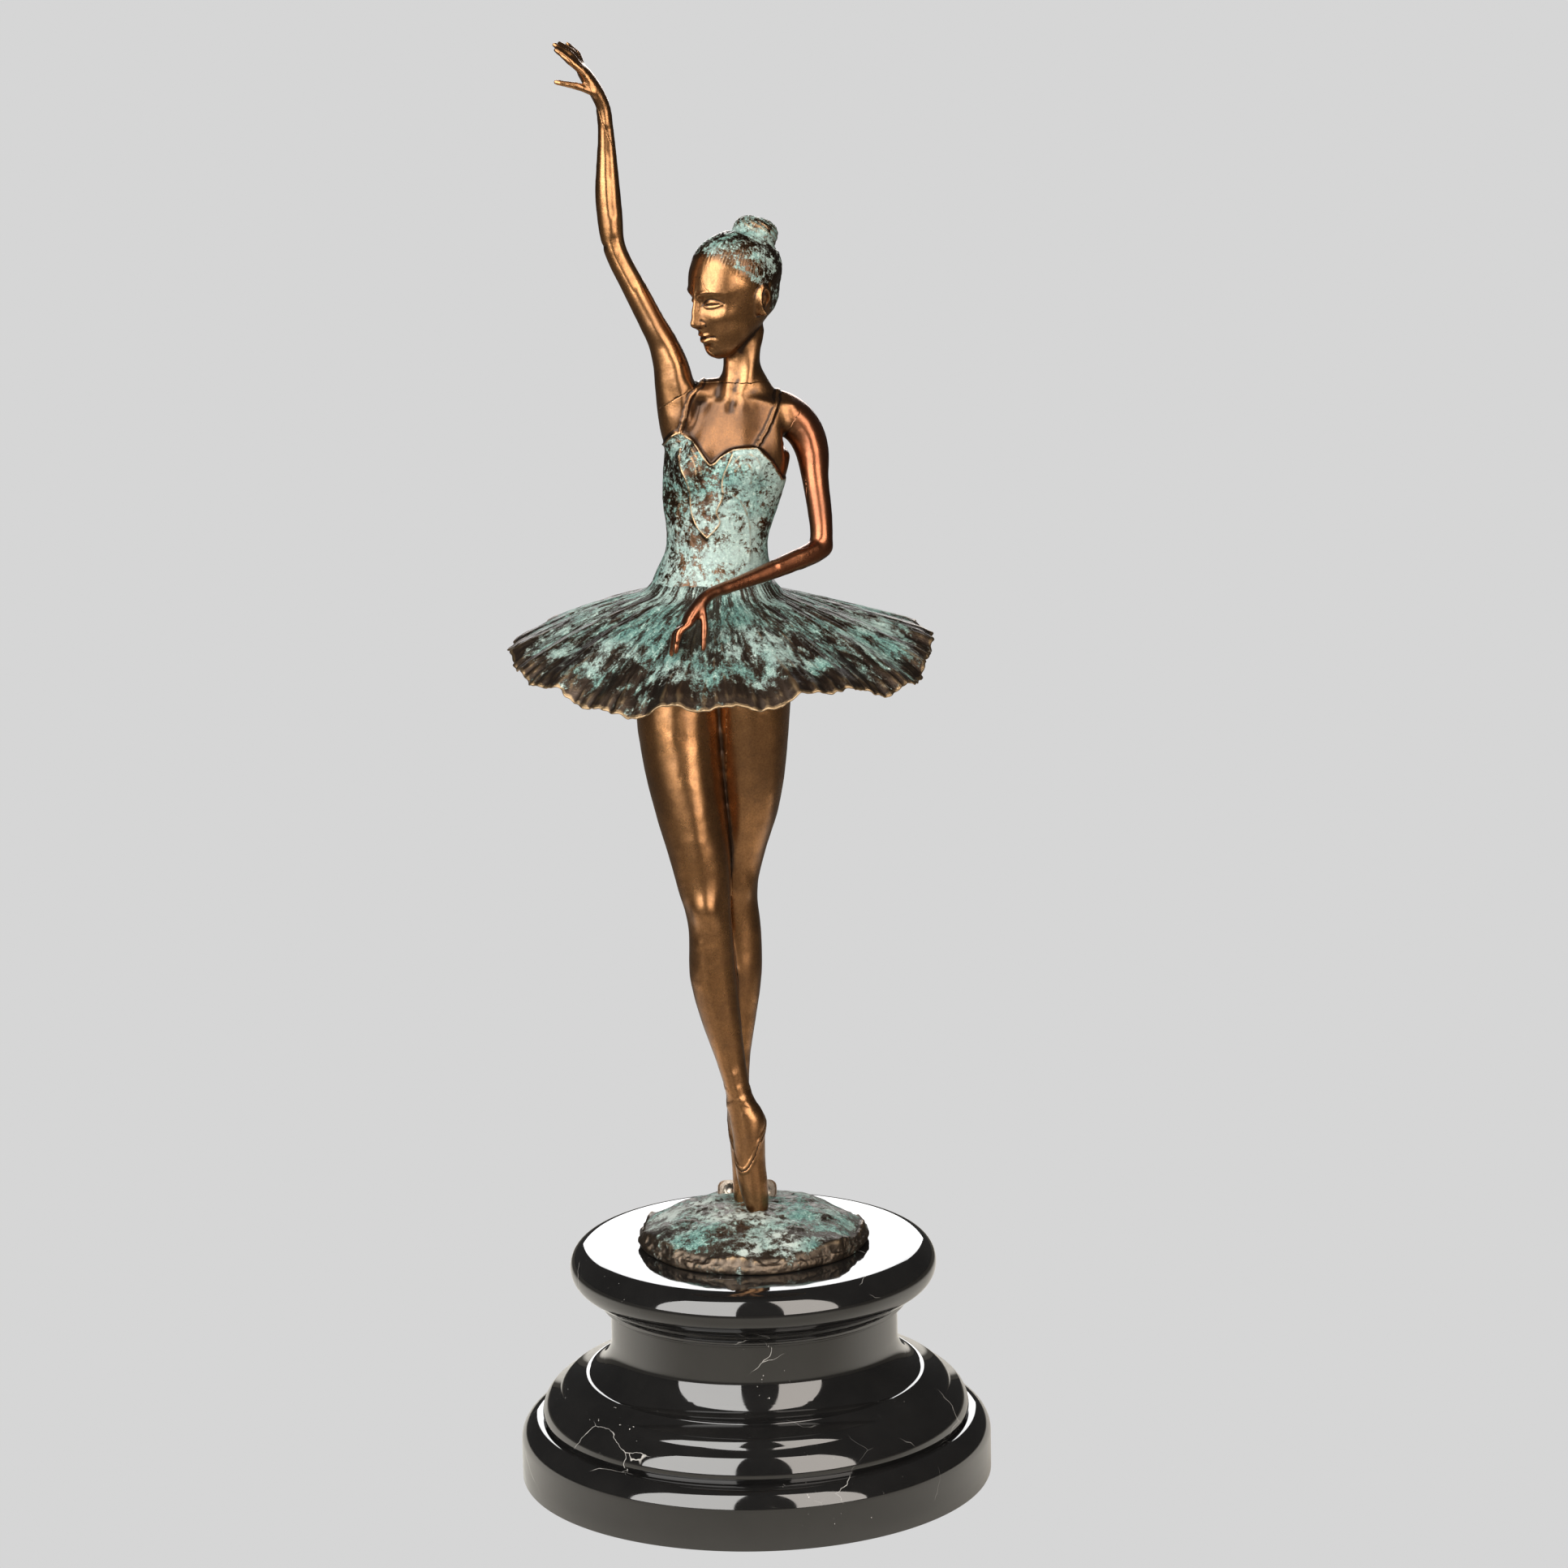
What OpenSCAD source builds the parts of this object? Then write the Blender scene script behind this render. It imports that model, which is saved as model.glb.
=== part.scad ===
// Bronze dancer on a turned stone pedestal, standing on both pointes.
// Millimetres, +Z up, the dancer's front towards -Y.
// The origin is the centre of the felt under the pedestal.

/* [Stone pedestal] */
// Radius of the plinth's straight band
plinth_r = 65; // [60:0.5:70]
// Radius of the rounding on the plinth's upper edge
plinth_round = 6; // [3:0.5:7]
// Widest radius of the moulded stone above the plinth
moulding_r = 59; // [58.5:0.1:59.5]
// Radius of the neck stone at its waist
neck_r = 39.5; // [38.5:0.1:40]
// Widest radius of the cap stone
cap_r = 50.4; // [50:0.1:53]
// Thickness of the felt under the plinth
felt_t = 1.2; // [0.8:0.1:2]

/* [Fastening] */
// Diameter of the threaded stud
stud_d = 6; // [5:1:8]
// Length of the threaded stud
stud_l = 66; // [64:1:66]
// Width of the nut across its flats
nut_flats = 10; // [8:1:13]
// Diameter of the large washer
washer_d = 30; // [24:1:34]
// Diameter of the locating pins in the toes
toe_pin_d = 2.4; // [2:0.1:2.8]
// Diameter of the locating pins in the neck and shoulders
joint_pin_d = 3; // [2:0.2:4]

/* [Bronze figure] */
// Radius of the tutu at its hem
tutu_r = 57; // [50:0.5:60]
// Thickness of the tutu's wall
tutu_t = 1.4; // [1:0.1:2]
// Depth of the tutu's radial folds at the hem
fold_depth = 1.1; // [0:0.1:1.5]
// Radius of the rocky mound
mound_r = 31.4; // [28:0.2:34]
// Yaw of the torso, turning its front towards -X
torso_yaw = 14; // [0:1:20]
// Yaw of the head, turning the face towards -X
head_yaw = 52; // [30:1:60]
// Nod of the head, chin towards the chest
head_nod = 10; // [0:1:15]

/* [Hidden] */

// Heights of the stone joints, from the floor up
plinth_top = 18;
moulding_top = 34;
neck_top = 50;
cap_top = 67;
stone_clear = 0.5;
counterbore_r = 17;
counterbore_top = 13;
groove_r = 58;
stud_low = 4.5;

// The washers and the nut hang under the counterbore's roof, pulled up towards the mound
washer_t = 1.6;
spring_t = 1.4;

// Heights of the figure's joints
sole_z = 75;
hip_z = 224;
collar_low = 244;
collar_high = 249.5;
neck_cut_z = 304.5;

limb_sides = 24;
finger_sides = 10;
tutu_sides = 120;
tutu_rings = 9;
mound_sides = 64;
mound_rings = 7;

// ---- curves and lofts ----

// Catmull-Rom value between the stations either side of u
function knot(s, i) = s[min(max(i, 0), len(s) - 1)];
function spline(s, u) =
    let (i = min(floor(u), len(s) - 2), t = u - i)
    let (a = knot(s, i - 1), b = knot(s, i), c = knot(s, i + 1), d = knot(s, i + 2))
    0.5 * (2 * b + (c - a) * t + (2 * a - 5 * b + 4 * c - d) * t * t
        + (3 * b - a - 3 * c + d) * t * t * t);

function unit(v) = v / norm(v);
function bell(x) = pow(max(1 - x * x, 0), 2);
function turn_gap(a, b) = ((a - b + 540) % 360) - 180;

// Height of all the swellings at one angle and height of a body; each swelling is
// [angle, height, half angle, half height, rise]
function swell(bumps, angle, z) = len(bumps) == 0 ? 0 :
    [for (b = bumps) bell(turn_gap(angle, b[0]) / b[2]) * bell((z - b[1]) / b[3]) * b[4]]
    * [for (b = bumps) 1];

// One level ring of a body; a station is [x, y, z, half width, half depth]
function level_ring(p, bumps, sides, yaw) = [
    for (k = [0:sides - 1])
        let (a = 360 * k / sides)
        let (r = p[3] * p[4] / norm([p[4] * cos(a), p[3] * sin(a)]) + swell(bumps, a, p[2]))
        [p[0] + r * cos(a - yaw), p[1] + r * sin(a - yaw), p[2]]
];

// One ring square to the path of a limb; a station is [x, y, z, half width, half depth]
function limb_ring(s, u, sides) =
    let (p = spline(s, u))
    let (q = spline(s, max(u - 0.2, 0)), n = spline(s, min(u + 0.2, len(s) - 1)))
    let (along = unit([n[0] - q[0], n[1] - q[1], n[2] - q[2]]))
    let (across = unit(cross([0, 1, 0], along)), deep = cross(along, across))
    [for (k = [0:sides - 1])
        let (a = 360 * k / sides)
        [p[0], p[1], p[2]] + across * p[3] * cos(a) + deep * p[4] * sin(a)];

// A closed solid through rings with equal numbers of points
module skin(rings) {
    sides = len(rings[0]);
    last = len(rings) - 1;
    points = [for (ring = rings) for (p = ring) p];
    walls = [
        for (j = [0:last - 1])
            for (k = [0:sides - 1])
                let (n = (k + 1) % sides)
                for (f = [[j * sides + k, (j + 1) * sides + k, j * sides + n],
                          [j * sides + n, (j + 1) * sides + k, (j + 1) * sides + n]])
                    f
    ];
    caps = [[for (k = [0:sides - 1]) k], [for (k = [sides - 1:-1:0]) last * sides + k]];
    polyhedron(points, concat(walls, caps), convexity = 6);
}

// A body of level rings, listed from its foot up
module body_loft(stations, steps, bumps = [], sides = limb_sides, yaw = 0) {
    last = len(stations) - 1;
    skin([for (j = [0:steps]) level_ring(spline(stations, last * j / steps), bumps, sides, yaw)]);
}

// A limb of rings square to its path
module limb_loft(stations, steps, sides = limb_sides) {
    last = len(stations) - 1;
    skin([for (j = [0:steps]) limb_ring(stations, last * j / steps, sides)]);
}

// A finger through its knuckle, middle joint and tip
module finger(root, bend, tip, r) {
    past = tip + 0.25 * r * unit(tip - bend);
    limb_loft([
        concat(root, [r, r]),
        concat((root + bend) / 2, [r * 0.94, r * 0.94]),
        concat(bend, [r * 0.92, r * 0.92]),
        concat(tip, [r * 0.7, r * 0.7]),
        concat(past, [r * 0.3, r * 0.3])
    ], 10, finger_sides);
}

// Everything on the far side of a flat joint, along axis from place
module beyond(place, axis, size) {
    tilt = acos(axis[2] / norm(axis));
    turn = atan2(axis[1], axis[0]);
    translate(place) rotate([0, tilt, turn]) translate([-size / 2, -size / 2, 0]) cube(size);
}

// A round bar centred on place and lying along axis
module bar(place, axis, d, l) {
    tilt = acos(axis[2] / norm(axis));
    turn = atan2(axis[1], axis[0]);
    translate(place) rotate([0, tilt, turn]) cylinder(d = d, h = l, center = true, $fn = 48);
}

// ---- flat joints between the castings: place and axis ----

neck_place = [1.9, 2.2, neck_cut_z];
up = [0, 0, 1];
raised_place = [-15.7, 0.6, 301];
raised_axis = [-0.55, 0, 0.83];
lowered_place = [14.8, 2.1, 294.6];
lowered_axis = [0.8, 0, -0.6];
joint_pin_l = 9;
pin_fit = 0.02;
// Sizes of the blocks that trim the limbs and the torso at those joints
limb_cut = 26;
torso_cut = 15;

front_toe = [1.7, -2.8, sole_z];
rear_toe = [-2.6, 6.2, sole_z];
toe_pin_l = 13;
toe_pin_drop = 1.5;

// ---- stone and fastening ----

module ring_of(outer, inner, low, high) {
    rotate_extrude($fn = 96)
        translate([inner, low]) square([outer - inner, high - low]);
}

module felt_pad() {
    color("darkgreen") ring_of(plinth_r - 4, counterbore_r + 3, 0, felt_t);
}

module plinth_stone() {
    bore_r = stud_d / 2 + stone_clear;
    color([0.05, 0.05, 0.05]) rotate_extrude($fn = 96) difference() {
        union() {
            translate([bore_r, felt_t]) square([plinth_r - bore_r, plinth_top - plinth_round - felt_t]);
            translate([bore_r, felt_t])
                square([plinth_r - plinth_round - bore_r, plinth_top - felt_t]);
            translate([plinth_r - plinth_round, plinth_top - plinth_round])
                circle(r = plinth_round, $fn = 96);
        }
        translate([0, felt_t - 1]) square([counterbore_r, counterbore_top - felt_t + 1]);
    }
}

// The hollow curve that runs from the moulding up into the neck
scotia_r = 11;
scotia_z = 40.6;

module moulding_stone() {
    bore_r = stud_d / 2 + stone_clear;
    torus_r = 7.5;
    shoulder_r = 5;
    foot = plinth_top + 0.8;
    brim = neck_r + 7.2;
    color([0.05, 0.05, 0.05]) rotate_extrude($fn = 96) difference() {
        union() {
            translate([bore_r, plinth_top]) square([groove_r - bore_r, 1]);
            polygon([
                [bore_r, foot], [moulding_r, foot], [moulding_r, foot + 0.4], [moulding_r - 5, foot + 7.2],
                [moulding_r - 7.4, foot + 9.6], [brim, 30.3], [brim, moulding_top], [bore_r, moulding_top]
            ]);
            intersection() {
                translate([moulding_r - torus_r, foot + 0.4]) circle(r = torus_r, $fn = 96);
                translate([moulding_r - torus_r, foot]) square(torus_r + 1);
            }
            translate([moulding_r - torus_r - 2, foot + 5.2]) circle(r = shoulder_r, $fn = 96);
        }
        translate([neck_r + scotia_r, scotia_z]) circle(r = scotia_r, $fn = 96);
    }
}

module neck_stone() {
    bore_r = stud_d / 2 + stone_clear;
    color([0.05, 0.05, 0.05]) rotate_extrude($fn = 96) difference() {
        union() {
            translate([bore_r, moulding_top]) square([neck_r - bore_r, neck_top - moulding_top]);
            translate([bore_r, moulding_top]) square([neck_r + 2.2 - bore_r, scotia_z - moulding_top]);
        }
        translate([neck_r + scotia_r, scotia_z]) circle(r = scotia_r, $fn = 96);
    }
}

module cap_stone() {
    bore_r = stud_d / 2 + stone_clear;
    edge_r = 6;
    edge_z = cap_top - edge_r;
    lip = neck_r + 1.8;
    color([0.05, 0.05, 0.05]) rotate_extrude($fn = 96) union() {
        translate([bore_r, neck_top]) square([lip - bore_r, 1]);
        polygon([
            [bore_r, neck_top + 0.9], [lip + 1, neck_top + 0.9], [lip + 1.2, neck_top + 2],
            [lip + 3, neck_top + 3.4], [lip + 5.2, neck_top + 5.2], [cap_r - 2.2, edge_z - 4.6],
            [cap_r - edge_r, cap_top], [bore_r, cap_top]
        ]);
        translate([cap_r - edge_r, edge_z]) circle(r = edge_r, $fn = 96);
    }
}

module threaded_stud() {
    color("silver") translate([0, 0, stud_low]) cylinder(d = stud_d, h = stud_l, $fn = 48);
}

module large_washer() {
    color("silver") ring_of(washer_d / 2, stud_d / 2 + 0.2, counterbore_top - washer_t, counterbore_top);
}

module spring_washer() {
    top = counterbore_top - washer_t;
    outer = stud_d * 0.95;
    color("gray") difference() {
        ring_of(outer, stud_d / 2 + 0.1, top - spring_t, top);
        translate([0, -0.4, top - spring_t - 1]) cube([outer + 1, 0.8, spring_t + 2]);
    }
}

module hex_nut() {
    top = counterbore_top - washer_t - spring_t;
    height = stud_d * 0.8;
    color("silver") difference() {
        intersection() {
            translate([0, 0, top - height]) cylinder(d = nut_flats / cos(30), h = height, $fn = 6);
            translate([0, 0, top - height]) cylinder(d1 = nut_flats * 1.06, d2 = nut_flats * 2, h = height * 2, $fn = 48);
        }
        translate([0, 0, top - height - 1]) cylinder(d = stud_d, h = height + 2, $fn = 48);
    }
}

// ---- mound ----

// Upper surface of the mound at an angle and a share of its radius
function rock(a, s) = 0.5 * sin(3 * a + 200 * s) + 0.35 * sin(7 * a - 310 * s) + 0.25 * sin(11 * a + 480 * s);
function mound_edge(a) = mound_r + 0.4 * sin(3 * a + 40) + 0.3 * sin(8 * a);
function mound_height(a, s) = cap_top + 8.4 - 3.4 * pow(s, 2.4) + rock(a, s) * s;

module mound_casting() {
    shares = [for (j = [1:mound_rings]) j / mound_rings];
    core_top = cap_top + 3.2;
    color([0.2, 0.4, 0.35]) difference() {
        skin(concat(
            [for (s = shares) [for (k = [0:mound_sides - 1])
                let (a = -360 * k / mound_sides, r = mound_edge(a) * s * 0.965)
                [r * cos(a), r * sin(a), mound_height(a, s)]]],
            [for (h = [0.55, 0.3, 0]) [for (k = [0:mound_sides - 1])
                let (a = -360 * k / mound_sides, r = mound_edge(a) * (h > 0.4 ? 1 : h > 0 ? 1.01 : 0.99))
                [r * cos(a), r * sin(a), cap_top + h * 5]]]
        ));
        ring_of(mound_r - 3.4, 9, cap_top - 1, core_top);
        translate([0, 0, cap_top - 1]) cylinder(d = stud_d, h = 1 + stud_low + stud_l - cap_top, $fn = 48);
        toe_pin(front_toe, pin_fit);
        toe_pin(rear_toe, pin_fit);
        translate([0, 0, sole_z]) cylinder(r = 18, h = 6, $fn = 96);
    }
}

plate_size = [16.6, 7, 1.9];
plate_middle = [-1.4, 12.2, sole_z];
module foundry_plate() {
    color([0.25, 0.2, 0.12]) translate(plate_middle) union() {
        translate([-plate_size[0] / 2, -plate_size[1] / 2, 0]) cube(plate_size);
        translate([0, 0, plate_size[2]]) cylinder(r = 2.2, h = 0.4, $fn = 48);
    }
}

module toe_pin(toe, extra = 0) {
    translate([toe[0], toe[1], sole_z - toe_pin_l * 0.4 - extra])
        cylinder(d = toe_pin_d + 2 * extra, h = toe_pin_l + 2 * extra, $fn = 48);
}

module front_toe_pin() { color("silver") toe_pin(front_toe); }
module rear_toe_pin() { color("silver") toe_pin(rear_toe); }

// ---- legs, from the toe up ----

front_leg = [
    [1.7, -2.8, 75, 2.3, 2.4], [1.6, -2.8, 76.3, 2.9, 3], [1, -2.8, 79.8, 3.6, 3.7], [0.4, -2.8, 84.5, 4.1, 4.1],
    [-0.2, -2.8, 89, 4.2, 4.2], [-0.4, -2.8, 94, 4.3, 4.3], [-0.5, -2.8, 98.5, 4.5, 4.4],
    [-0.8, -2.8, 103, 5, 4.3], [-2.3, -2.9, 107.5, 4, 4], [-3.5, -3, 112, 3.5, 3.9],
    [-5.4, -3, 121, 4.3, 4.5], [-7.7, -3, 132, 5.7, 5.8], [-9.4, -3.2, 143.5, 6.5, 6.6],
    [-9.8, -4.4, 155, 5.9, 6.4], [-10.6, -5.1, 161.5, 6, 6.8], [-11.3, -5, 166, 6.6, 7.2],
    [-12.9, -4, 177, 7.9, 8.6], [-14.9, -2.8, 188, 9, 9.9], [-16.6, -1.6, 199.5, 10, 11.2],
    [-17.7, -0.4, 213, 10.9, 12.3], [-17.8, 0.6, hip_z, 10.9, 12.8]
];
rear_leg = [
    [-2.6, 6.2, 75, 2.1, 2.4], [-2.6, 6.3, 76.3, 2.5, 3], [-2.5, 6.4, 80, 2.8, 3.4], [-2.2, 6.6, 86, 3.2, 4],
    [-2.5, 6.9, 95, 3.5, 4.4], [-3.1, 7, 103, 3.4, 4.6], [-3.4, 6.4, 110, 3.2, 3.8],
    [-3.2, 6.4, 118, 3.5, 4.1], [-2.6, 7.2, 130, 4.9, 5.3], [-2.2, 7.8, 141, 6.1, 6.5],
    [-2, 7.8, 153, 6, 6.6], [-2.4, 7.2, 165, 5.8, 7], [-0.2, 6.4, 177, 6.1, 8.1], [1.9, 5, 188, 7.4, 9.6],
    [2.8, 3.6, 199.5, 8.5, 10.8], [3.4, 2.2, 213, 9.2, 12], [3.8, 1.6, hip_z, 9.6, 12.6]
];

module front_leg_casting() {
    color([0.55, 0.36, 0.16]) difference() {
        body_loft(front_leg, 52, [
            [262, 162.5, 48, 6, 0.9], [262, 155, 36, 4, 0.35], [70, 146, 70, 16, 0.9],
            [275, 190, 60, 22, 0.8], [100, 205, 60, 20, 0.8]
        ]);
        toe_pin(front_toe, pin_fit);
    }
}

module rear_leg_casting() {
    color([0.55, 0.36, 0.16]) difference() {
        body_loft(rear_leg, 52, [
            [290, 166, 45, 6, 0.6], [100, 146, 70, 16, 1], [285, 192, 50, 20, 0.6], [90, 205, 60, 20, 0.8]
        ]);
        toe_pin(rear_toe, pin_fit);
    }
}

// ---- torso and tutu ----

collar = [-7.4, 0.6, 16.8, 12.4];
neck_size = [7, 5.9];
torso = [
    [-7, 1.6, hip_z, 20.6, 13.4], [-7.2, 1.8, 232, 20.3, 13.8], [-7.4, 1.2, 239, 18.6, 13],
    [collar[0], collar[1], collar_low, collar[2], collar[3]],
    [collar[0], collar[1], collar_low, collar[2], collar[3]],
    [collar[0], collar[1], collar_high, collar[2], collar[3]],
    [collar[0], collar[1], collar_high, collar[2], collar[3]],
    [-6.9, 0.4, 254.8, 14.9, 10.8], [-6.2, 0.1, 259, 13.6, 9.8], [-5.8, 0, 263.4, 13.4, 9.6],
    [-5.3, 0, 268, 14.3, 9.9], [-4.8, 0.1, 272.2, 15.4, 10.2], [-4, 0.2, 276.6, 16.2, 10.3],
    [-2.9, 0.5, 283, 17, 10.2], [-2, 0.8, 288.5, 17, 9.8], [-1.4, 1.2, 293, 16.2, 9],
    [-0.3, 1.7, 298.2, 13.6, 7.7], [0.8, 2.1, 301.5, 9.9, 6.7],
    [neck_place[0], neck_place[1], neck_cut_z, neck_size[0], neck_size[1]]
];
torso_swellings = [
    [235, 283.5, 36, 9.5, 2.6], [305, 283.5, 36, 9.5, 2.6],
    [60, 231, 48, 12.5, 2.8], [120, 231, 48, 12.5, 2.8], [270, 236, 60, 8, 0.6],
    [50, 288, 34, 10, 1], [130, 288, 34, 10, 1]
];

raised_root = [
    [-12, 1.8, 284, 4.4, 5.4], [-14, 1.6, 289.5, 5.8, 6.2], [-15, 1.2, 295, 6, 6.3], [-15.7, 0.8, 300, 5.8, 6],
    [-16.5, 0.3, 304.5, 5.3, 5.6], [-17.3, -0.1, 309.5, 4.7, 5.1]
];
// Collarbone and shoulder muscle lifted with the raised arm
raised_yoke = [
    [2, 2.8, 300, 3.6, 4.6], [-3, 2.6, 301.4, 3.6, 4.8], [-8, 2, 301.8, 3.8, 4.8], [-12.5, 1.2, 300.6, 3.8, 4.6]
];
lowered_root = [
    [5, 2.4, 298, 4.6, 5.6], [10.6, 2.4, 297, 5.2, 6], [15, 2.1, 294.2, 5.4, 6], [18.2, 1.5, 290.2, 5, 5.5],
    [19.8, 0.6, 285.4, 4.5, 4.9]
];

module torso_casting() {
    color([0.25, 0.45, 0.4]) difference() {
        union() {
            body_loft(torso, 46, torso_swellings, 40, torso_yaw);
            difference() {
                limb_loft(raised_root, 14);
                beyond(raised_place, raised_axis, limb_cut);
            }
            limb_loft(raised_yoke, 8);
            difference() {
                limb_loft(lowered_root, 12);
                beyond(lowered_place, lowered_axis, limb_cut);
            }
        }
        beyond(raised_place, raised_axis, torso_cut);
        beyond(lowered_place, lowered_axis, torso_cut);
        bar(neck_place, up, joint_pin_d + 2 * pin_fit, joint_pin_l + 2 * pin_fit);
        bar(raised_place, raised_axis, joint_pin_d + 2 * pin_fit, joint_pin_l + 2 * pin_fit);
        bar(lowered_place, lowered_axis, joint_pin_d + 2 * pin_fit, joint_pin_l + 2 * pin_fit);
    }
}

module neck_pin() { color("silver") bar(neck_place, up, joint_pin_d, joint_pin_l); }
module raised_shoulder_pin() { color("silver") bar(raised_place, raised_axis, joint_pin_d, joint_pin_l); }
module lowered_shoulder_pin() { color("silver") bar(lowered_place, lowered_axis, joint_pin_d, joint_pin_l); }

tutu_middle = [-5.6, 1];
tutu_fit = 0.04;
tutu_folds = 20;
// Rise of the hem above its even line, every 20 degrees from +X, the front at 270
hem_waves = [0.8, 1, -1.5, 1, -1.2, 1.2, -1, 1.4, -1, 0.5, 0.2, 0.4, -2.6, 1, 0.4, 3, -2, -2.4];
function wave(a) =
    let (u = a / 20, n = len(hem_waves), i = floor(u), t = u - i)
    let (w = [for (k = [-1:2]) hem_waves[(i + k + n) % n]])
    spline(w, 1 + t);
function hem_height(a) = 233.5 + (sin(a) < 0 ? 6.2 : 2) * sin(a);

// A point of the tutu at an angle and a share of the way from waist to hem
function tutu_point(a, s, below) =
    let (e = a + torso_yaw)
    let (rx = collar[2] + tutu_fit, ry = collar[3] + tutu_fit)
    let (r = rx * ry / norm([ry * cos(e), rx * sin(e)]))
    let (inner = [collar[0] + r * cos(a), collar[1] + r * sin(a)])
    let (outer = tutu_middle + tutu_r * (1 + 0.012 * sin(9 * a)) * [cos(a), sin(a)])
    let (p = inner + (outer - inner) * s)
    let (c = 0.7 + 0.1 * cos(a), z = 249.2 + (hem_height(a) - 249.2) * (c * s + (1 - c) * s * s))
    [p[0], p[1], z + wave(a) * s * s + fold_depth * sin(tutu_folds * a) * pow(s, 1.5) - below];

module tutu_casting() {
    rows = 2 * (tutu_rings + 1);
    points = [
        for (k = [0:tutu_sides - 1])
            let (a = 360 * k / tutu_sides)
            for (j = [0:rows - 1])
                j <= tutu_rings
                    ? tutu_point(a, j / tutu_rings, 0)
                    : tutu_point(a, (rows - 1 - j) / tutu_rings, tutu_t)
    ];
    faces = [
        for (k = [0:tutu_sides - 1])
            for (j = [0:rows - 1])
                let (k2 = (k + 1) % tutu_sides, j2 = (j + 1) % rows)
                for (f = [[k * rows + j, k2 * rows + j, k * rows + j2],
                          [k2 * rows + j, k2 * rows + j2, k * rows + j2]])
                    f
    ];
    color([0.15, 0.4, 0.38]) polyhedron(points, faces, convexity = 8);
}

// ---- head, modelled facing -Y about the skull's middle, then turned ----

head_middle = [0.2, 0, 328.4];
neck = [
    [neck_place[0], neck_place[1], neck_cut_z, neck_size[0], neck_size[1]], [1.8, 2, 306.6, 5.7, 5.3],
    [1.5, 1.8, 309.2, 4.9, 5], [1.5, 1.8, 312.5, 4.9, 5.1], [2, 2.2, 318, 5.2, 5.6], [2.4, 2.6, 322, 4.6, 5.2]
];
skull = [
    [0, -7.4, -15.6, 1.6, 1.6], [0, -7, -14.6, 3.6, 3.4], [0, -5.8, -12, 5.6, 6], [0, -2.6, -8, 7.4, 10.1],
    [0, -0.8, -4, 8.8, 12.2], [0, -0.3, 0, 9.8, 12.8], [0, 0.5, 4, 10.4, 13.5], [0, 0.9, 8, 10, 12.9],
    [0, 1, 11.5, 8.4, 10.9], [0, 1, 14.3, 5.6, 7.5], [0, 1, 15.8, 2.2, 3]
];
// A plain, evenly proportioned face: nose, brow, eye hollows, lips, chin and cheeks
face_swellings = [
    [270, -3.4, 11, 5.4, 2], [270, -5.4, 13, 2.4, 1.2], [270, 2.4, 42, 2.6, 0.5],
    [246, -0.4, 15, 2.8, -0.9], [294, -0.4, 15, 2.8, -0.9],
    [270, -9.4, 22, 2, 0.7], [270, -13.8, 34, 2.6, 0.5], [232, -4.6, 22, 4, 0.4], [308, -4.6, 22, 4, 0.4]
];
bun = [
    [0, 0, -5.5, 3.6, 3.4], [0, 0, -4, 4.3, 4], [0, 0, -2.6, 4.4, 4.1], [0, 0, -1, 5.6, 5.2], [0, 0, 1.6, 6, 5.6],
    [0, 0, 3.8, 5, 4.6], [0, 0, 5, 2.6, 2.4]
];
bun_middle = [5.4, 4.2, 342.6];
ear = [[0, 0, -3.4, 0.8, 1], [0, 0, -1.4, 1.2, 1.7], [0, 0, 1.4, 1.4, 2.4], [0, 0, 3.2, 1, 1.6]];

module head_casting() {
    color([0.55, 0.38, 0.18]) difference() {
        union() {
            body_loft(neck, 10);
            translate(head_middle) rotate([0, 0, -head_yaw]) rotate([head_nod, 0, 0]) {
                body_loft(skull, 30, face_swellings, 36);
                for (side = [-1, 1])
                    translate([side * 9.4, 0.8, -2.2]) rotate([-10, 0, side * 14]) body_loft(ear, 6, [], 12);
            }
            translate(bun_middle) rotate([-6, 16, 0]) body_loft(bun, 14);
        }
        bar(neck_place, up, joint_pin_d + 2 * pin_fit, joint_pin_l + 2 * pin_fit);
    }
}

// ---- arms, from the shoulder to the fingertips ----

raised_arm = [
    [-15, 1.2, 295, 6, 6.3], [-15.7, 0.8, 300, 5.8, 6], [-16.5, 0.3, 304.5, 5.3, 5.6],
    [-17.3, -0.1, 309.5, 4.7, 5.1], [-19.4, -0.5, 315.9, 3.9, 4.5], [-22, -0.8, 321, 3.5, 4.1],
    [-25.9, -1, 329, 3.3, 3.7], [-30, -1.2, 337.2, 3.1, 3.4], [-31.7, -1.4, 342, 3.1, 3.3],
    [-32.4, -1.7, 349, 3.5, 3.3], [-32.8, -2, 356, 3.4, 3.1], [-32.8, -2.5, 364, 2.8, 2.6],
    [-32.9, -3, 372, 2.1, 2.2], [-33.3, -3.4, 377.5, 1.9, 2.1], [-34.6, -3.8, 381, 1.9, 2.6],
    [-36.6, -4.2, 384.4, 1.9, 3.1], [-38.5, -4.5, 387.4, 1.6, 3.3], [-39.3, -4.6, 388.6, 0.9, 2.6]
];
raised_fingers = [
    [[-38, -6.8, 386.8], [-41.7, -7.2, 390.2], [-45.4, -6.8, 393.2], 1.05],
    [[-38.2, -5.2, 387.2], [-41.6, -5.4, 391.6], [-45.8, -5, 394.4], 1.1],
    [[-38.2, -3.7, 387.2], [-41, -3.5, 392], [-44.6, -3.2, 394.6], 1.05],
    [[-37.8, -2.3, 386.6], [-39.8, -1.8, 391.6], [-42.6, -1.4, 394.4], 0.9],
    [[-35.4, -6, 381.6], [-39.8, -7.4, 383.6], [-45.6, -7.6, 384.8], 1.1]
];

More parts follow.
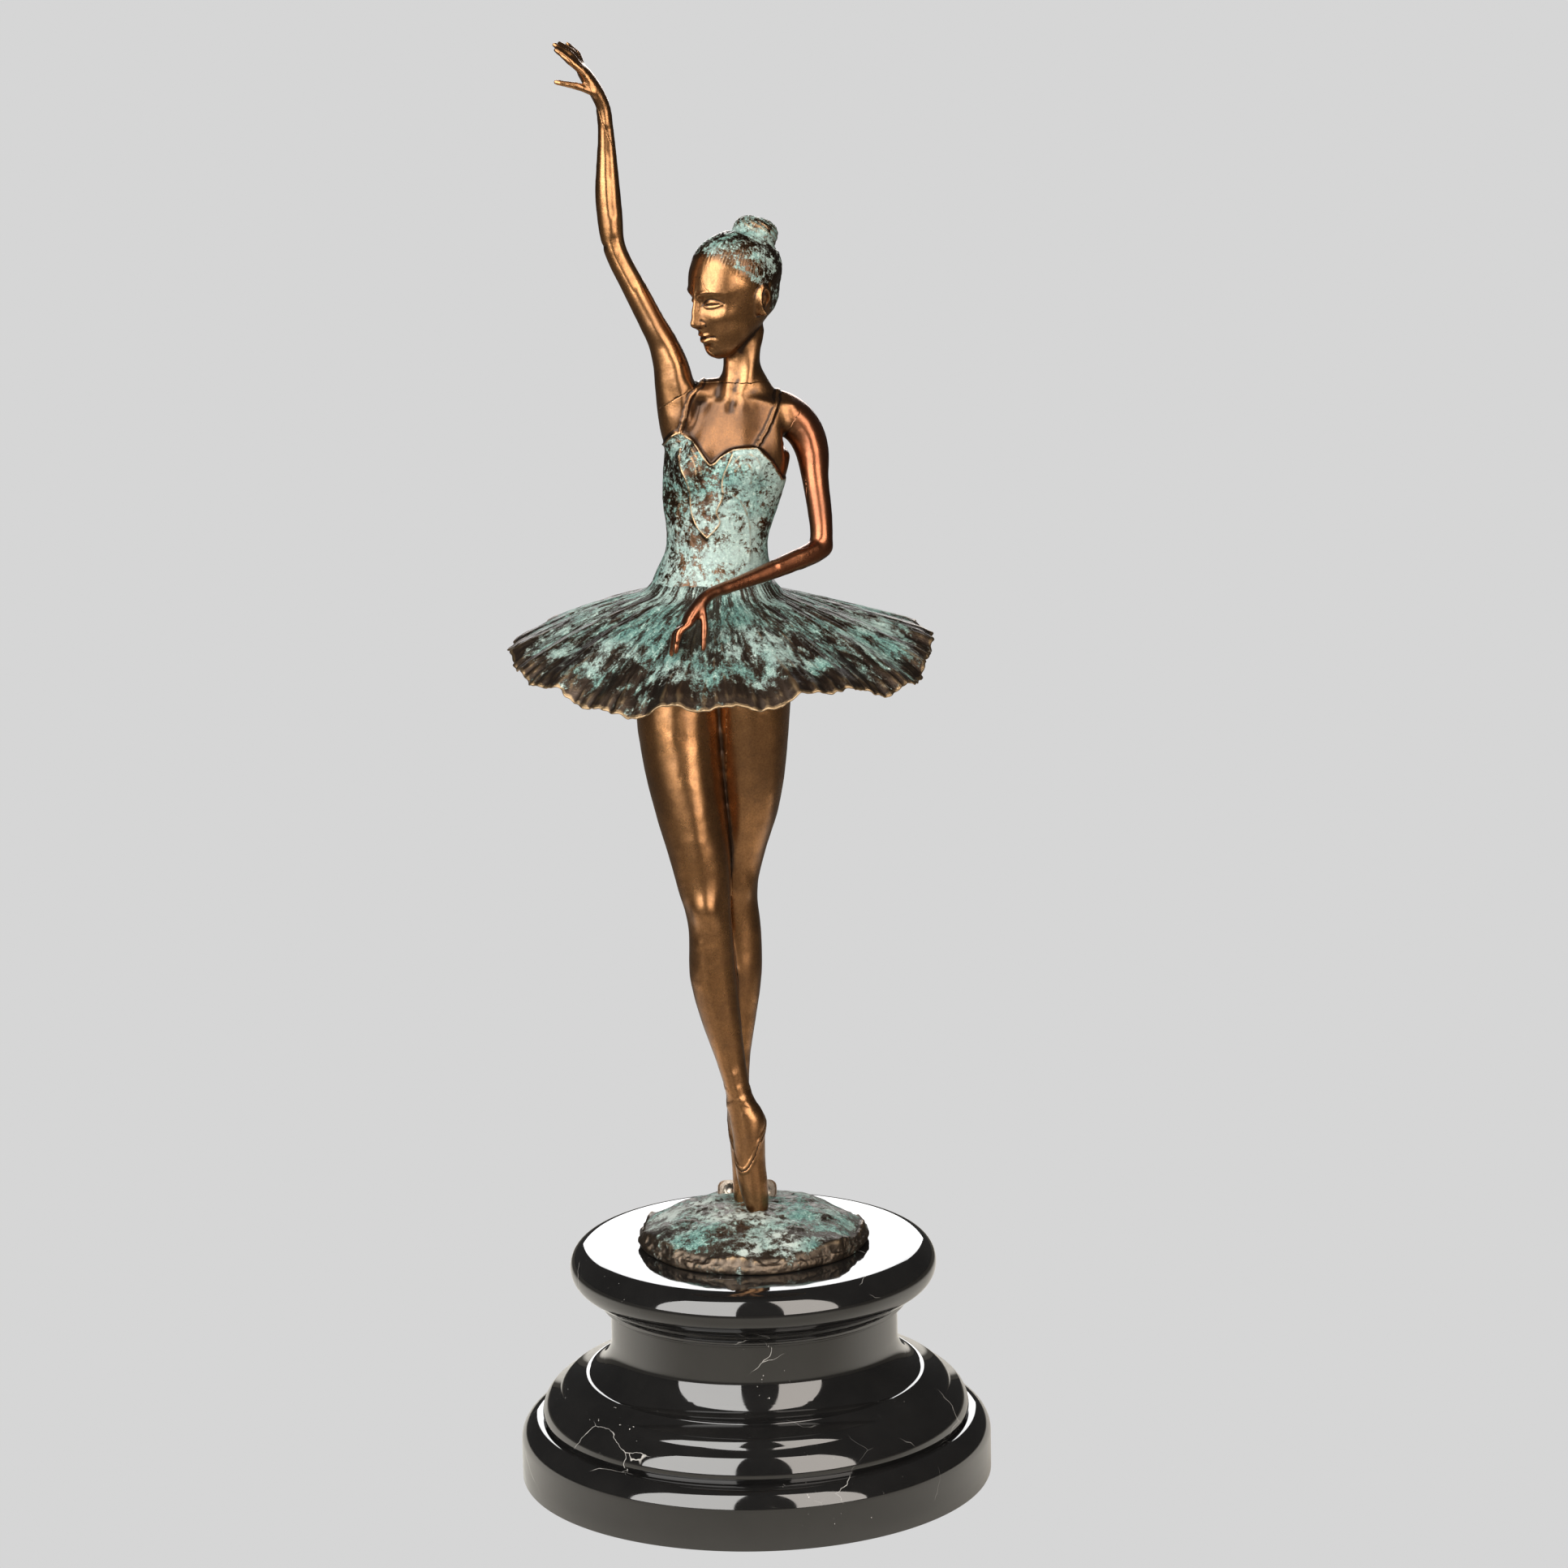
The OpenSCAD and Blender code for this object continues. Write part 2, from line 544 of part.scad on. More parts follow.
module raised_arm_casting() {
    color([0.55, 0.35, 0.16]) difference() {
        union() {
            limb_loft(raised_arm, 54, limb_sides);
            for (f = raised_fingers) finger(f[0], f[1], f[2], f[3]);
        }
        beyond(raised_place, -raised_axis, limb_cut);
        bar(raised_place, raised_axis, joint_pin_d + 2 * pin_fit, joint_pin_l + 2 * pin_fit);
    }
}

lowered_upper = [
    [10.6, 2.4, 297, 5.2, 6], [15, 2.1, 294.2, 5.4, 6], [18.2, 1.5, 290.2, 5, 5.5], [19.8, 0.6, 285.4, 4.5, 4.9],
    [20.4, -1.6, 279, 3.7, 4.1], [21.3, -4.2, 272, 3.4, 3.7], [21.9, -6.8, 265.6, 3.1, 3.4],
    [21.6, -8.2, 261.8, 3, 3.1], [21.2, -8.8, 259.6, 2.2, 2.2], [21, -9, 258.6, 0.8, 0.8]
];
lowered_forearm = [
    [24.4, -6.6, 262, 1, 1], [23.4, -7.4, 261.7, 2.4, 2.4], [21.4, -9, 261, 3, 3],
    [17.6, -12.2, 259.6, 3, 3.1], [10.5, -17.4, 257.5, 2.7, 2.9], [4, -22.2, 255.9, 2.3, 2.6],
    [-2.4, -27, 254.4, 1.9, 2.3], [-7.6, -30.8, 253.2, 1.7, 2.3], [-10, -32.8, 251.2, 1.9, 2.9],
    [-12.2, -34.6, 248.6, 1.9, 3.3], [-13.8, -35.8, 246.4, 1.6, 3.3], [-14.4, -36.2, 245.4, 0.9, 2.6]
];
lowered_fingers = [
    [[-12.6, -38, 247.2], [-15.8, -39.6, 244.6], [-16.8, -39.8, 239.4], 1.05],
    [[-13.2, -36.6, 246.8], [-16.8, -37.8, 243.8], [-18, -38, 238.4], 1.1],
    [[-13.6, -35, 246.6], [-17, -36, 243.4], [-18, -36.2, 238.8], 1.05],
    [[-13.6, -33.4, 246.4], [-16.4, -34, 243], [-17, -34.2, 239.8], 0.9],
    [[-9.6, -34.8, 251], [-9.2, -37.2, 245.4], [-9.6, -38, 239.6], 1.1]
];

module lowered_arm_casting() {
    color([0.5, 0.28, 0.14]) difference() {
        union() {
            limb_loft(lowered_upper, 32, limb_sides);
            limb_loft(lowered_forearm, 36, limb_sides);
            for (f = lowered_fingers) finger(f[0], f[1], f[2], f[3]);
        }
        beyond(lowered_place, -lowered_axis, limb_cut);
        bar(lowered_place, lowered_axis, joint_pin_d + 2 * pin_fit, joint_pin_l + 2 * pin_fit);
    }
}

felt_pad();
plinth_stone();
moulding_stone();
neck_stone();
cap_stone();
threaded_stud();
large_washer();
spring_washer();
hex_nut();
mound_casting();
foundry_plate();
front_toe_pin();
rear_toe_pin();
front_leg_casting();
rear_leg_casting();
torso_casting();
tutu_casting();
neck_pin();
head_casting();
raised_shoulder_pin();
raised_arm_casting();
lowered_shoulder_pin();
lowered_arm_casting();
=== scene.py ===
import math

import bmesh
import bpy
import numpy as np
from mathutils import Matrix, Vector, noise
from mathutils.bvhtree import BVHTree
from mathutils.kdtree import KDTree


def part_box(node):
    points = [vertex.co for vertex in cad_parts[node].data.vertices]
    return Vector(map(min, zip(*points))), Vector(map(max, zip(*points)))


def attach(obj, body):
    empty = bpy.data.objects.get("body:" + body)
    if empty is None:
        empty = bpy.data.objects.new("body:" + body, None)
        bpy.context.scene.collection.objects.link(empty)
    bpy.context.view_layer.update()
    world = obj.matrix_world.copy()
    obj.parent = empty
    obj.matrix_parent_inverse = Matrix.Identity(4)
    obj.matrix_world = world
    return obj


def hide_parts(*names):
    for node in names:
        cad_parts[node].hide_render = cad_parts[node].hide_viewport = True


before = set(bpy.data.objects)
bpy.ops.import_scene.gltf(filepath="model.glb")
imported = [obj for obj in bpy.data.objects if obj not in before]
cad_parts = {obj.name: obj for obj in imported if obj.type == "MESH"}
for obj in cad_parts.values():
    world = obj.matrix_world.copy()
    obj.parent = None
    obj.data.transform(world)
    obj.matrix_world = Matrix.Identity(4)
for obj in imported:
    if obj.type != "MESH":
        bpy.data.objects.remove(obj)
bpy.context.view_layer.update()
scene = bpy.context.scene
millimetre = 0.001


# ---- small tools ----

def placed(name, mesh):
    piece = bpy.data.objects.new(name, mesh)
    scene.collection.objects.link(piece)
    return piece


def opened(mesh):
    bm = bmesh.new()
    bm.from_mesh(mesh)
    return bm


def closed(bm, mesh):
    bm.to_mesh(mesh)
    bm.free()
    return mesh


def newMesh(bm, name):
    return closed(bm, bpy.data.meshes.new(name))


def listed(items, key, width, kind=float):
    flat = np.zeros(len(items) * width, kind)
    items.foreach_get(key, flat)
    return flat.reshape(-1, width) if width > 1 else flat


def coordinates(mesh):
    return listed(mesh.vertices, "co", 3) / millimetre


def setCoordinates(mesh, points):
    mesh.vertices.foreach_set("co", (points * millimetre).ravel())
    mesh.update()


def vertexNormals(mesh):
    return listed(mesh.vertex_normals, "vector", 3)


def links(mesh):
    pairs = listed(mesh.edges, "vertices", 2, np.int32)
    start = np.concatenate([pairs[:, 0], pairs[:, 1]])
    end = np.concatenate([pairs[:, 1], pairs[:, 0]])
    return start, end, np.maximum(np.bincount(start, minlength=len(mesh.vertices)), 1)


def averaged(values, joined):
    start, end, count = joined
    if values.ndim == 1:
        return np.bincount(start, values[end], minlength=len(values)) / count
    return np.stack([averaged(values[:, i], joined) for i in range(values.shape[1])], 1)


def smoothed(points, joined, rounds, weight=1.0):
    for _ in range(rounds):
        points = points + 0.5 * weight * (averaged(points, joined) - points)
    return points


def moved(points, directions, amount):
    return points + directions * amount[:, None]


def curvature(points, soft, normals, size):
    # How far each point stands proud of its softened place, in sizes, from -1 to 1
    return np.clip(((points - soft) * normals).sum(1) / size, -1, 1)


def curved(points, steps=8):
    # A smooth line through the points
    points = np.array(points, float)
    ends = np.vstack([points[0], points, points[-1]])
    line = []
    for i in range(len(points) - 1):
        a, b, c, d = ends[i:i + 4]
        for t in np.arange(steps) / steps:
            line.append(0.5 * (2 * b + (c - a) * t + (2 * a - 5 * b + 4 * c - d) * t ** 2
                               + (3 * b - a - 3 * c + d) * t ** 3))
    return np.array(line + [points[-1]])


def lineGap(points, line, reach):
    # Distance of every point from a line of points, very large beyond reach
    gap = np.full(len(points), 1e6)
    near = np.all((points > line.min(0) - reach) & (points < line.max(0) + reach), 1)
    inside = points[near]
    best = np.full(len(inside), 1e6)
    for p, q in zip(line[:-1], line[1:]):
        along = q - p
        t = np.clip((inside - p) @ along / max(along @ along, 1e-9), 0, 1)
        best = np.minimum(best, np.linalg.norm(inside - p - t[:, None] * along, axis=1))
    gap[near] = best
    return gap


def snapped(line, tree):
    # A smooth line laid onto the nearest places of a surface
    return np.array([tree.find(Vector(p))[0] for p in curved(line)])


def pointTree(points):
    tree = KDTree(len(points))
    for i, p in enumerate(points):
        tree.insert(p, i)
    tree.balance()
    return tree


def bell(value, width):
    return np.exp(-(value / width) ** 2)


def strokeWeight(points, line, width):
    return bell(lineGap(points, curved(line), width * 3), width)


def strokeRise(points, strokes, tree):
    # The sum of strokes laid onto the surface: line, width, rise
    rise = np.zeros(len(points))
    for line, width, amount in strokes:
        rise += amount * bell(lineGap(points, snapped(line, tree), width * 3), width)
    return rise


def spot(points, middle, size):
    return np.exp(-(((points - np.array(middle)) / np.array(size)) ** 2).sum(1))


def step(low, high, value):
    t = np.clip((value - low) / (high - low), 0, 1)
    return t * t * (3 - 2 * t)


def texture(points, size, octaves=4, seed=0.0):
    # Fractal noise on millimetre points, features of about size millimetres
    shift = Vector((seed * 7.3, seed * 3.1, seed * 5.7))
    return np.array([noise.fractal(Vector(p) / size + shift, 0.9, 2.1, octaves) for p in points])


def setAttribute(mesh, name, values):
    layer = mesh.attributes.get(name) or mesh.attributes.new(name, "FLOAT", "POINT")
    layer.data.foreach_set("value", values.astype(np.float32))


# The thighs are drawn together until they touch: side, heights, outer and inner x, shift
closing = {"front_leg_casting": (1, 140, 176, -15, -6, 0.9), "rear_leg_casting": (-1, 140, 172, 7, -5, 1.7)}


def remeshed(nodeNames, voxel, swell=0.03):
    # One watertight skin over copies of the CAD nodes
    joined = bmesh.new()
    for nodeName in nodeNames:
        part = opened(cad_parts[nodeName].data)
        bmesh.ops.remove_doubles(part, verts=part.verts, dist=1e-6)
        part.normal_update()
        for vert in part.verts:
            vert.co += vert.normal * swell * millimetre
            if nodeName in closing:
                side, low, high, outer, inner, shift = closing[nodeName]
                x, z = vert.co.x / millimetre, vert.co.z / millimetre
                vert.co.x += side * shift * step(low, high, z) * step(outer, inner, x) * millimetre
        joined.from_mesh(newMesh(part, nodeName + "Copy"))
    holder = placed("Holder", newMesh(joined, "Joined"))
    change = holder.modifiers.new("Remesh", "REMESH")
    change.mode = "VOXEL"
    change.voxel_size = voxel * millimetre
    shown = holder.evaluated_get(bpy.context.evaluated_depsgraph_get())
    done = bpy.data.meshes.new_from_object(shown)
    bpy.data.objects.remove(holder)
    return done


def nodeTree(nodeName):
    cadCopy = opened(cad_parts[nodeName].data)
    tree = BVHTree.FromBMesh(cadCopy)
    cadCopy.free()
    return tree


def smallShells(bm, least):
    # Vertices of the loose shells with fewer than least of them
    waiting, small = set(bm.verts), []
    while waiting:
        shell, edge = [], [waiting.pop()]
        while edge:
            vert = edge.pop()
            shell.append(vert)
            for link in vert.link_edges:
                other = link.other_vert(vert)
                if other in waiting:
                    waiting.discard(other)
                    edge.append(other)
        if len(shell) < least:
            small += shell
    return small


def finished(piece, material, nodeName, smooth=True):
    mesh = piece.data
    mesh.materials.clear()
    mesh.materials.append(material)
    if smooth:
        mesh.shade_smooth()
    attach(piece, "root")
    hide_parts(nodeName)
    print("piece", piece.name, len(mesh.polygons), "faces", flush=True)


# ---- camera, floor and lights ----

cameraSettings = {"place": (0.01076, -1.290, 0.475), "pitch": 12.23, "roll": -1.0, "lens": 112.36}
cameraData = bpy.data.cameras.new("MainCamera")
cameraData.lens = cameraSettings["lens"]
cameraData.sensor_width = 36
camera = bpy.data.objects.new("MainCamera", cameraData)
scene.collection.objects.link(camera)
camera.matrix_world = (
    Matrix.Translation(cameraSettings["place"])
    @ Matrix.Rotation(math.radians(90 - cameraSettings["pitch"]), 4, "X")
    @ Matrix.Rotation(math.radians(cameraSettings["roll"]), 4, "Z")
)
scene.camera = camera
scene.view_settings.view_transform = "Standard"
print("camera done", flush=True)


def newMaterial(name):
    material = bpy.data.materials.new(name)
    material.use_nodes = True
    tree = material.node_tree
    tree.nodes.clear()
    return material, tree


def addNode(tree, kind, inputs=None, **settings):
    node = tree.nodes.new(kind)
    for key, value in settings.items():
        setattr(node, key, value)
    for key, value in (inputs or {}).items():
        socket = node.inputs[key]
        if isinstance(value, bpy.types.NodeSocket):
            tree.links.new(value, socket)
        else:
            socket.default_value = value
    return node


def mathNode(tree, operation, a, b=0.0, clamp=False):
    return addNode(tree, "ShaderNodeMath", {0: a, 1: b}, operation=operation, use_clamp=clamp).outputs[0]


def times(tree, a, b, clamp=False):
    return mathNode(tree, "MULTIPLY", a, b, clamp)


def plus(tree, a, b, clamp=False):
    return mathNode(tree, "ADD", a, b, clamp)


def less(tree, a, b):
    return mathNode(tree, "SUBTRACT", a, b)


def stretched(tree, vector, factors):
    return addNode(tree, "ShaderNodeVectorMath", {0: vector, 1: factors}, operation="MULTIPLY").outputs[0]


def objectPlace(tree):
    return addNode(tree, "ShaderNodeTexCoord").outputs["Object"]


def attributeOf(tree, name, output="Fac"):
    return addNode(tree, "ShaderNodeAttribute", attribute_name=name).outputs[output]


def bumpNode(tree, strength, distance, height):
    return addNode(tree, "ShaderNodeBump",
                   {"Strength": strength, "Distance": distance, "Height": height}).outputs[0]


def surfaced(tree, inputs):
    surface = addNode(tree, "ShaderNodeBsdfPrincipled", inputs)
    addNode(tree, "ShaderNodeOutputMaterial", {"Surface": surface.outputs[0]})


def mixColour(tree, factor, a, b):
    return addNode(tree, "ShaderNodeMix", {0: factor, 6: a, 7: b}, data_type="RGBA").outputs[2]


def mapRange(tree, value, low, high, outLow=0.0, outHigh=1.0):
    ends = {"Value": value, "From Min": low, "From Max": high, "To Min": outLow, "To Max": outHigh}
    return addNode(tree, "ShaderNodeMapRange", ends, interpolation_type="SMOOTHSTEP").outputs[0]


def noiseNode(tree, vector, scale, detail, rough, distortion=0.0):
    settings = {"Vector": vector, "Scale": scale, "Detail": detail, "Roughness": rough,
                "Distortion": distortion}
    return addNode(tree, "ShaderNodeTexNoise", settings).outputs[0]


# Floor colours for every ray but the camera's are painted light and shade: darker in front, bright just
# behind, dark further out
floorSettings = {"size": 6.0, "seen": 0.672, "front": (0.5, 0.48, 0.43, 1),
                 "back": (0.9, 0.88, 0.82, 1), "far": (0.1, 0.095, 0.085, 1)}
floorBm = bmesh.new()
bmesh.ops.create_grid(floorBm, x_segments=1, y_segments=1, size=floorSettings["size"])
floor = placed("Floor", newMesh(floorBm, "Floor"))
floorMaterial, tree = newMaterial("FloorPale")
lightPath = addNode(tree, "ShaderNodeLightPath")
flatLight = addNode(tree, "ShaderNodeEmission",
                    {"Color": (1, 1, 1, 1), "Strength": floorSettings["seen"]})
floorPlace = objectPlace(tree)
floorY = addNode(tree, "ShaderNodeSeparateXYZ", {0: floorPlace}).outputs["Y"]
floorReach = addNode(tree, "ShaderNodeVectorMath", {0: floorPlace}, operation="LENGTH").outputs["Value"]
# Painted light and shade on the floor, seen in reflections and bounced light
paintedFloorLight = mixColour(tree, mapRange(tree, floorY, -0.12, 0.02), floorSettings["front"],
                       floorSettings["back"])
paintedFloorLight = mixColour(tree, mapRange(tree, floorReach, 0.2, 0.4), paintedFloorLight, floorSettings["far"])
paintedLightDiffuse = addNode(tree, "ShaderNodeBsdfDiffuse", {"Color": paintedFloorLight})
floorMix = addNode(tree, "ShaderNodeMixShader",
                   {0: lightPath.outputs["Is Camera Ray"], 1: paintedLightDiffuse.outputs[0],
                     2: flatLight.outputs[0]})
addNode(tree, "ShaderNodeOutputMaterial", {"Surface": floorMix.outputs[0]})
floor.data.materials.append(floorMaterial)

world = bpy.data.worlds.new("Studio")
scene.world = world
world.use_nodes = True
tree = world.node_tree
tree.nodes.clear()
worldSettings = {"seen": floorSettings["seen"], "fill": 0.05}
lightPath = addNode(tree, "ShaderNodeLightPath")
seenLight = addNode(tree, "ShaderNodeBackground",
                    {"Color": (1, 1, 1, 1), "Strength": worldSettings["seen"]})
fillLight = addNode(tree, "ShaderNodeBackground",
                    {"Color": (1, 0.98, 0.95, 1), "Strength": worldSettings["fill"]})
worldMix = addNode(tree, "ShaderNodeMixShader",
                   {0: lightPath.outputs["Is Camera Ray"], 1: fillLight.outputs[0], 2: seenLight.outputs[0]})
addNode(tree, "ShaderNodeOutputWorld", {"Surface": worldMix.outputs[0]})

# Two tall walls of light with a dark gap between them, and a low one behind: middle, size and facing
panels = {
    "LeftPanel": {"middle": (-1.5, -1.5, 2.25), "size": (2.44, 4.5), "facing": (0, 1, 0), "glow": 6.0,
                  "tint": (1, 0.985, 0.96)},
    "RightPanel": {"middle": (1.22, -1.5, 2.25), "size": (1.45, 4.5), "facing": (0, 1, 0), "glow": 5.0,
                   "tint": (1, 0.93, 0.86)},
    "BackPanel": {"middle": (0, 1.7, 0.66), "size": (0.95, 0.62), "facing": (0, -1, 0), "glow": 4.9,
                  "tint": (1, 1, 1)},
}
for panelName, panel in panels.items():
    lightData = bpy.data.lights.new(panelName, "AREA")
    lightData.shape = "RECTANGLE"
    lightData.size, lightData.size_y = panel["size"]
    lightData.color = panel["tint"]
    lightData.energy = panel["glow"] * math.pi * panel["size"][0] * panel["size"][1]
    light = bpy.data.objects.new(panelName, lightData)
    scene.collection.objects.link(light)
    light.location = panel["middle"]
    light.rotation_euler = Vector(panel["facing"]).to_track_quat("-Z", "Z").to_euler()
    light.visible_camera = False
print("stage done", flush=True)


# ---- materials ----

def newGroup(name, inputs, outputs):
    group = bpy.data.node_groups.new(name, "ShaderNodeTree")
    for label, kind, value in inputs:
        socket = group.interface.new_socket(label, in_out="INPUT", socket_type="NodeSocket" + kind)
        if value is not None:
            socket.default_value = value
    for label, kind in outputs:
        group.interface.new_socket(label, in_out="OUTPUT", socket_type="NodeSocket" + kind)
    return group, group.nodes.new("NodeGroupInput").outputs


agedGroup, given = newGroup(
    "AgedBronze",
    [("Vector", "Vector", None), ("Streaks", "Vector", None), ("Bronze", "Color", (0.3, 0.15, 0.06, 1)),
     ("Deep", "Color", (0.03, 0.016, 0.009, 1)), ("Green", "Float", 0.0), ("WearAndShade", "Float", 0.0),
     ("Darkness", "Float", 0.4), ("PaleAndSheen", "Float", 0.3), ("Gloss", "Float", 0.33), ("ToneAndShade", "Float", 0.0)],
    [("Base Color", "Color"), ("Roughness", "Float"), ("Metallic", "Float"), ("Height", "Float")],
)
tree = agedGroup
coarse = noiseNode(tree, given["Streaks"], 130.0, 6.0, 0.68, 0.4)
middling = noiseNode(tree, given["Streaks"], 520.0, 5.0, 0.7, 0.3)
fine = noiseNode(tree, given["Vector"], 1900.0, 4.0, 0.7)
broad = noiseNode(tree, given["Vector"], 60.0, 3.0, 0.5)
blotch = plus(tree, times(tree, coarse, 0.5), times(tree, middling, 0.32))
blotch = plus(tree, blotch, times(tree, fine, 0.18))
threshold = less(tree, 0.72, times(tree, given["Green"], 0.42))
greenRaw = mapRange(tree, less(tree, blotch, threshold), -0.03, 0.05)
worn = mapRange(tree, given["WearAndShade"], 0.1, 0.75)
speckledWear = times(tree, worn, mapRange(tree, middling, 0.3, 0.6))
greenMask = times(tree, greenRaw, less(tree, 1.0, speckledWear), clamp=True)
greenMix = plus(tree, times(tree, middling, 0.6), times(tree, fine, 0.4))
greenRamp = addNode(tree, "ShaderNodeValToRGB", {"Fac": greenMix})
ramp = greenRamp.color_ramp
ramp.elements[0].position, ramp.elements[0].color = 0.37, (0.018, 0.04, 0.037, 1)
ramp.elements[1].position, ramp.elements[1].color = 0.66, (0.5, 0.58, 0.52, 1)
for position, colour in ((0.46, (0.07, 0.165, 0.148, 1)), (0.55, (0.16, 0.3, 0.258, 1))):
    ramp.elements.new(position).color = colour
# Hollows darken: dark patina, and painted shade in creases and between parts
hollowPatinaAndShade = mapRange(tree, given["WearAndShade"], 0.02, -0.5)
darkNoise = mapRange(tree, plus(tree, times(tree, broad, 0.5), times(tree, coarse, 0.5)), 0.38, 0.64)
darkPatinaAndShade = plus(tree, times(tree, darkNoise, given["Darkness"]), hollowPatinaAndShade, clamp=True)
darkPatinaAndShade = times(tree, darkPatinaAndShade, less(tree, 1.0, worn), clamp=True)
# Tone and shade: from painted shade on the chest, a dark brown, at -1 to the lowered arm's copper red at 1
tonedAndShaded = mixColour(tree, mapRange(tree, given["ToneAndShade"], 0.0, 1.0), given["Bronze"], (0.42, 0.145, 0.065, 1))
tonedAndShaded = mixColour(tree, mapRange(tree, given["ToneAndShade"], 0.0, -1.0), tonedAndShaded, (0.14, 0.062, 0.024, 1))
aged = mixColour(tree, mapRange(tree, given["Green"], 0.05, 0.5, 0.0, 0.85), tonedAndShaded, given["Deep"])
bronzeTint = mixColour(tree, mapRange(tree, fine, 0.35, 0.7, 0.0, 0.35), aged, given["Deep"])
metalColour = mixColour(tree, darkPatinaAndShade, bronzeTint, given["Deep"])
rubbed = mixColour(tree, times(tree, worn, 0.75), metalColour, (0.42, 0.29, 0.16, 1))
# Pale patches in the green: pale patina, and partly a painted sheen standing in for reflections
paleAndSheenMask = times(tree, given["PaleAndSheen"], mapRange(tree, broad, 0.4, 0.62), clamp=True)
greenColour = mixColour(tree, paleAndSheenMask, greenRamp.outputs[0], (0.5, 0.54, 0.5, 1))
bodyColour = mixColour(tree, greenMask, rubbed, greenColour)
roughness = plus(tree, given["Gloss"], times(tree, darkPatinaAndShade, 0.14))
roughness = plus(tree, roughness, times(tree, greenMask, 0.26), clamp=True)
metallic = less(tree, 1.0, times(tree, greenMask, 0.82))
strokes = noiseNode(tree, stretched(tree, given["Vector"], (1, 1, 0.12)), 1500.0, 3.0, 0.6)
height = plus(tree, times(tree, greenMask, 0.6), times(tree, fine, 0.4))
height = plus(tree, height, times(tree, strokes, 0.16))
addNode(tree, "NodeGroupOutput",
        {"Base Color": bodyColour, "Roughness": roughness, "Metallic": metallic, "Height": height})


def agedBronze(name, settings):
    material, tree = newMaterial(name)
    place = objectPlace(tree)
    streaks = place
    if "streakLayer" in settings:
        streaks = attributeOf(tree, settings["streakLayer"], "Vector")
    if "streakScale" in settings:
        streaks = stretched(tree, streaks, (settings["streakScale"],) * 3)
    group = addNode(tree, "ShaderNodeGroup", {}, node_tree=agedGroup)
    for key, value in {"Vector": place, "Streaks": streaks, "Green": attributeOf(tree, "green"),
                       "WearAndShade": attributeOf(tree, "wearAndShade"), "ToneAndShade": attributeOf(tree, "toneAndShade")}.items():
        tree.links.new(value, group.inputs[key])
    for key, value in settings["group"].items():
        group.inputs[key].default_value = value
    surfaced(tree, {"Base Color": group.outputs["Base Color"], "Roughness": group.outputs["Roughness"],
                    "Metallic": group.outputs["Metallic"], "Coat Weight": settings["coat"],
                    "Coat Roughness": 0.16,
                    "Normal": bumpNode(tree, settings["bump"], 0.0004, group.outputs["Height"])})
    return material


bronzeSettings = {
    "FigureBronze": {"group": {"Bronze": (0.46, 0.225, 0.09, 1), "Deep": (0.05, 0.028, 0.017, 1),
                               "PaleAndSheen": 0.35,
                               "Darkness": 0.5, "Gloss": 0.26}, "bump": 0.12, "coat": 0.2},
    "ClothBronze": {"group": {"Bronze": (0.46, 0.225, 0.09, 1), "Deep": (0.05, 0.028, 0.017, 1), "PaleAndSheen": 0.42,
                              "Darkness": 0.5, "Gloss": 0.26}, "bump": 0.3, "coat": 0.2, "streakScale": 1.7},
    "TutuPatina": {"group": {"Bronze": (0.17, 0.115, 0.08, 1), "Deep": (0.06, 0.044, 0.034, 1), "PaleAndSheen": 0.38,
                             "Darkness": 0.6, "Gloss": 0.36},
                   "bump": 0.8, "coat": 0.1, "streakLayer": "streakPlace"},
    "RockPatina": {"group": {"Bronze": (0.3, 0.21, 0.14, 1), "Deep": (0.07, 0.06, 0.05, 1), "PaleAndSheen": 0.8,
                             "Darkness": 0.4, "Gloss": 0.38}, "bump": 0.9, "coat": 0.05},
    "PlateBronze": {"group": {"Bronze": (0.56, 0.5, 0.42, 1), "Darkness": 0.3, "Gloss": 0.36},
                    "bump": 0.3, "coat": 0.1},
}
bronzes = {name: agedBronze(name, settings) for name, settings in bronzeSettings.items()}


def blackMarble():
    material, tree = newMaterial("BlackMarble")
    place = objectPlace(tree)
    bend = addNode(tree, "ShaderNodeTexNoise", {"Vector": place, "Scale": 45.0, "Detail": 4.0})
    shift = stretched(tree, bend.outputs["Color"], (0.02,) * 3)
    bent = addNode(tree, "ShaderNodeVectorMath", {0: place, 1: shift}, operation="ADD").outputs[0]
    cells = addNode(tree, "ShaderNodeTexVoronoi", {"Vector": bent, "Scale": 34.0},
                    feature="DISTANCE_TO_EDGE").outputs["Distance"]
    vein = mapRange(tree, cells, 0.0042, 0.0008)
    rare = mapRange(tree, noiseNode(tree, place, 34.0, 2.0, 0.5), 0.57, 0.64, 0.0, 0.7)
    vein = times(tree, vein, rare)
    flecks = mapRange(tree, noiseNode(tree, place, 700.0, 3.0, 0.6), 0.71, 0.75)
    fleckArea = mapRange(tree, noiseNode(tree, place, 40.0, 2.0, 0.5), 0.55, 0.62)
    white = plus(tree, vein, times(tree, flecks, fleckArea), clamp=True)
    cloud = noiseNode(tree, place, 90.0, 5.0, 0.6)
    black = mixColour(tree, cloud, (0.003, 0.003, 0.0032, 1), (0.011, 0.0105, 0.01, 1))
    colour = mixColour(tree, white, black, (0.55, 0.53, 0.5, 1))
    roughness = mapRange(tree, noiseNode(tree, place, 300.0, 3.0, 0.6), 0.3, 0.7, 0.035, 0.07)
    surfaced(tree, {"Base Color": colour, "Roughness": roughness, "IOR": 1.75})
    return material


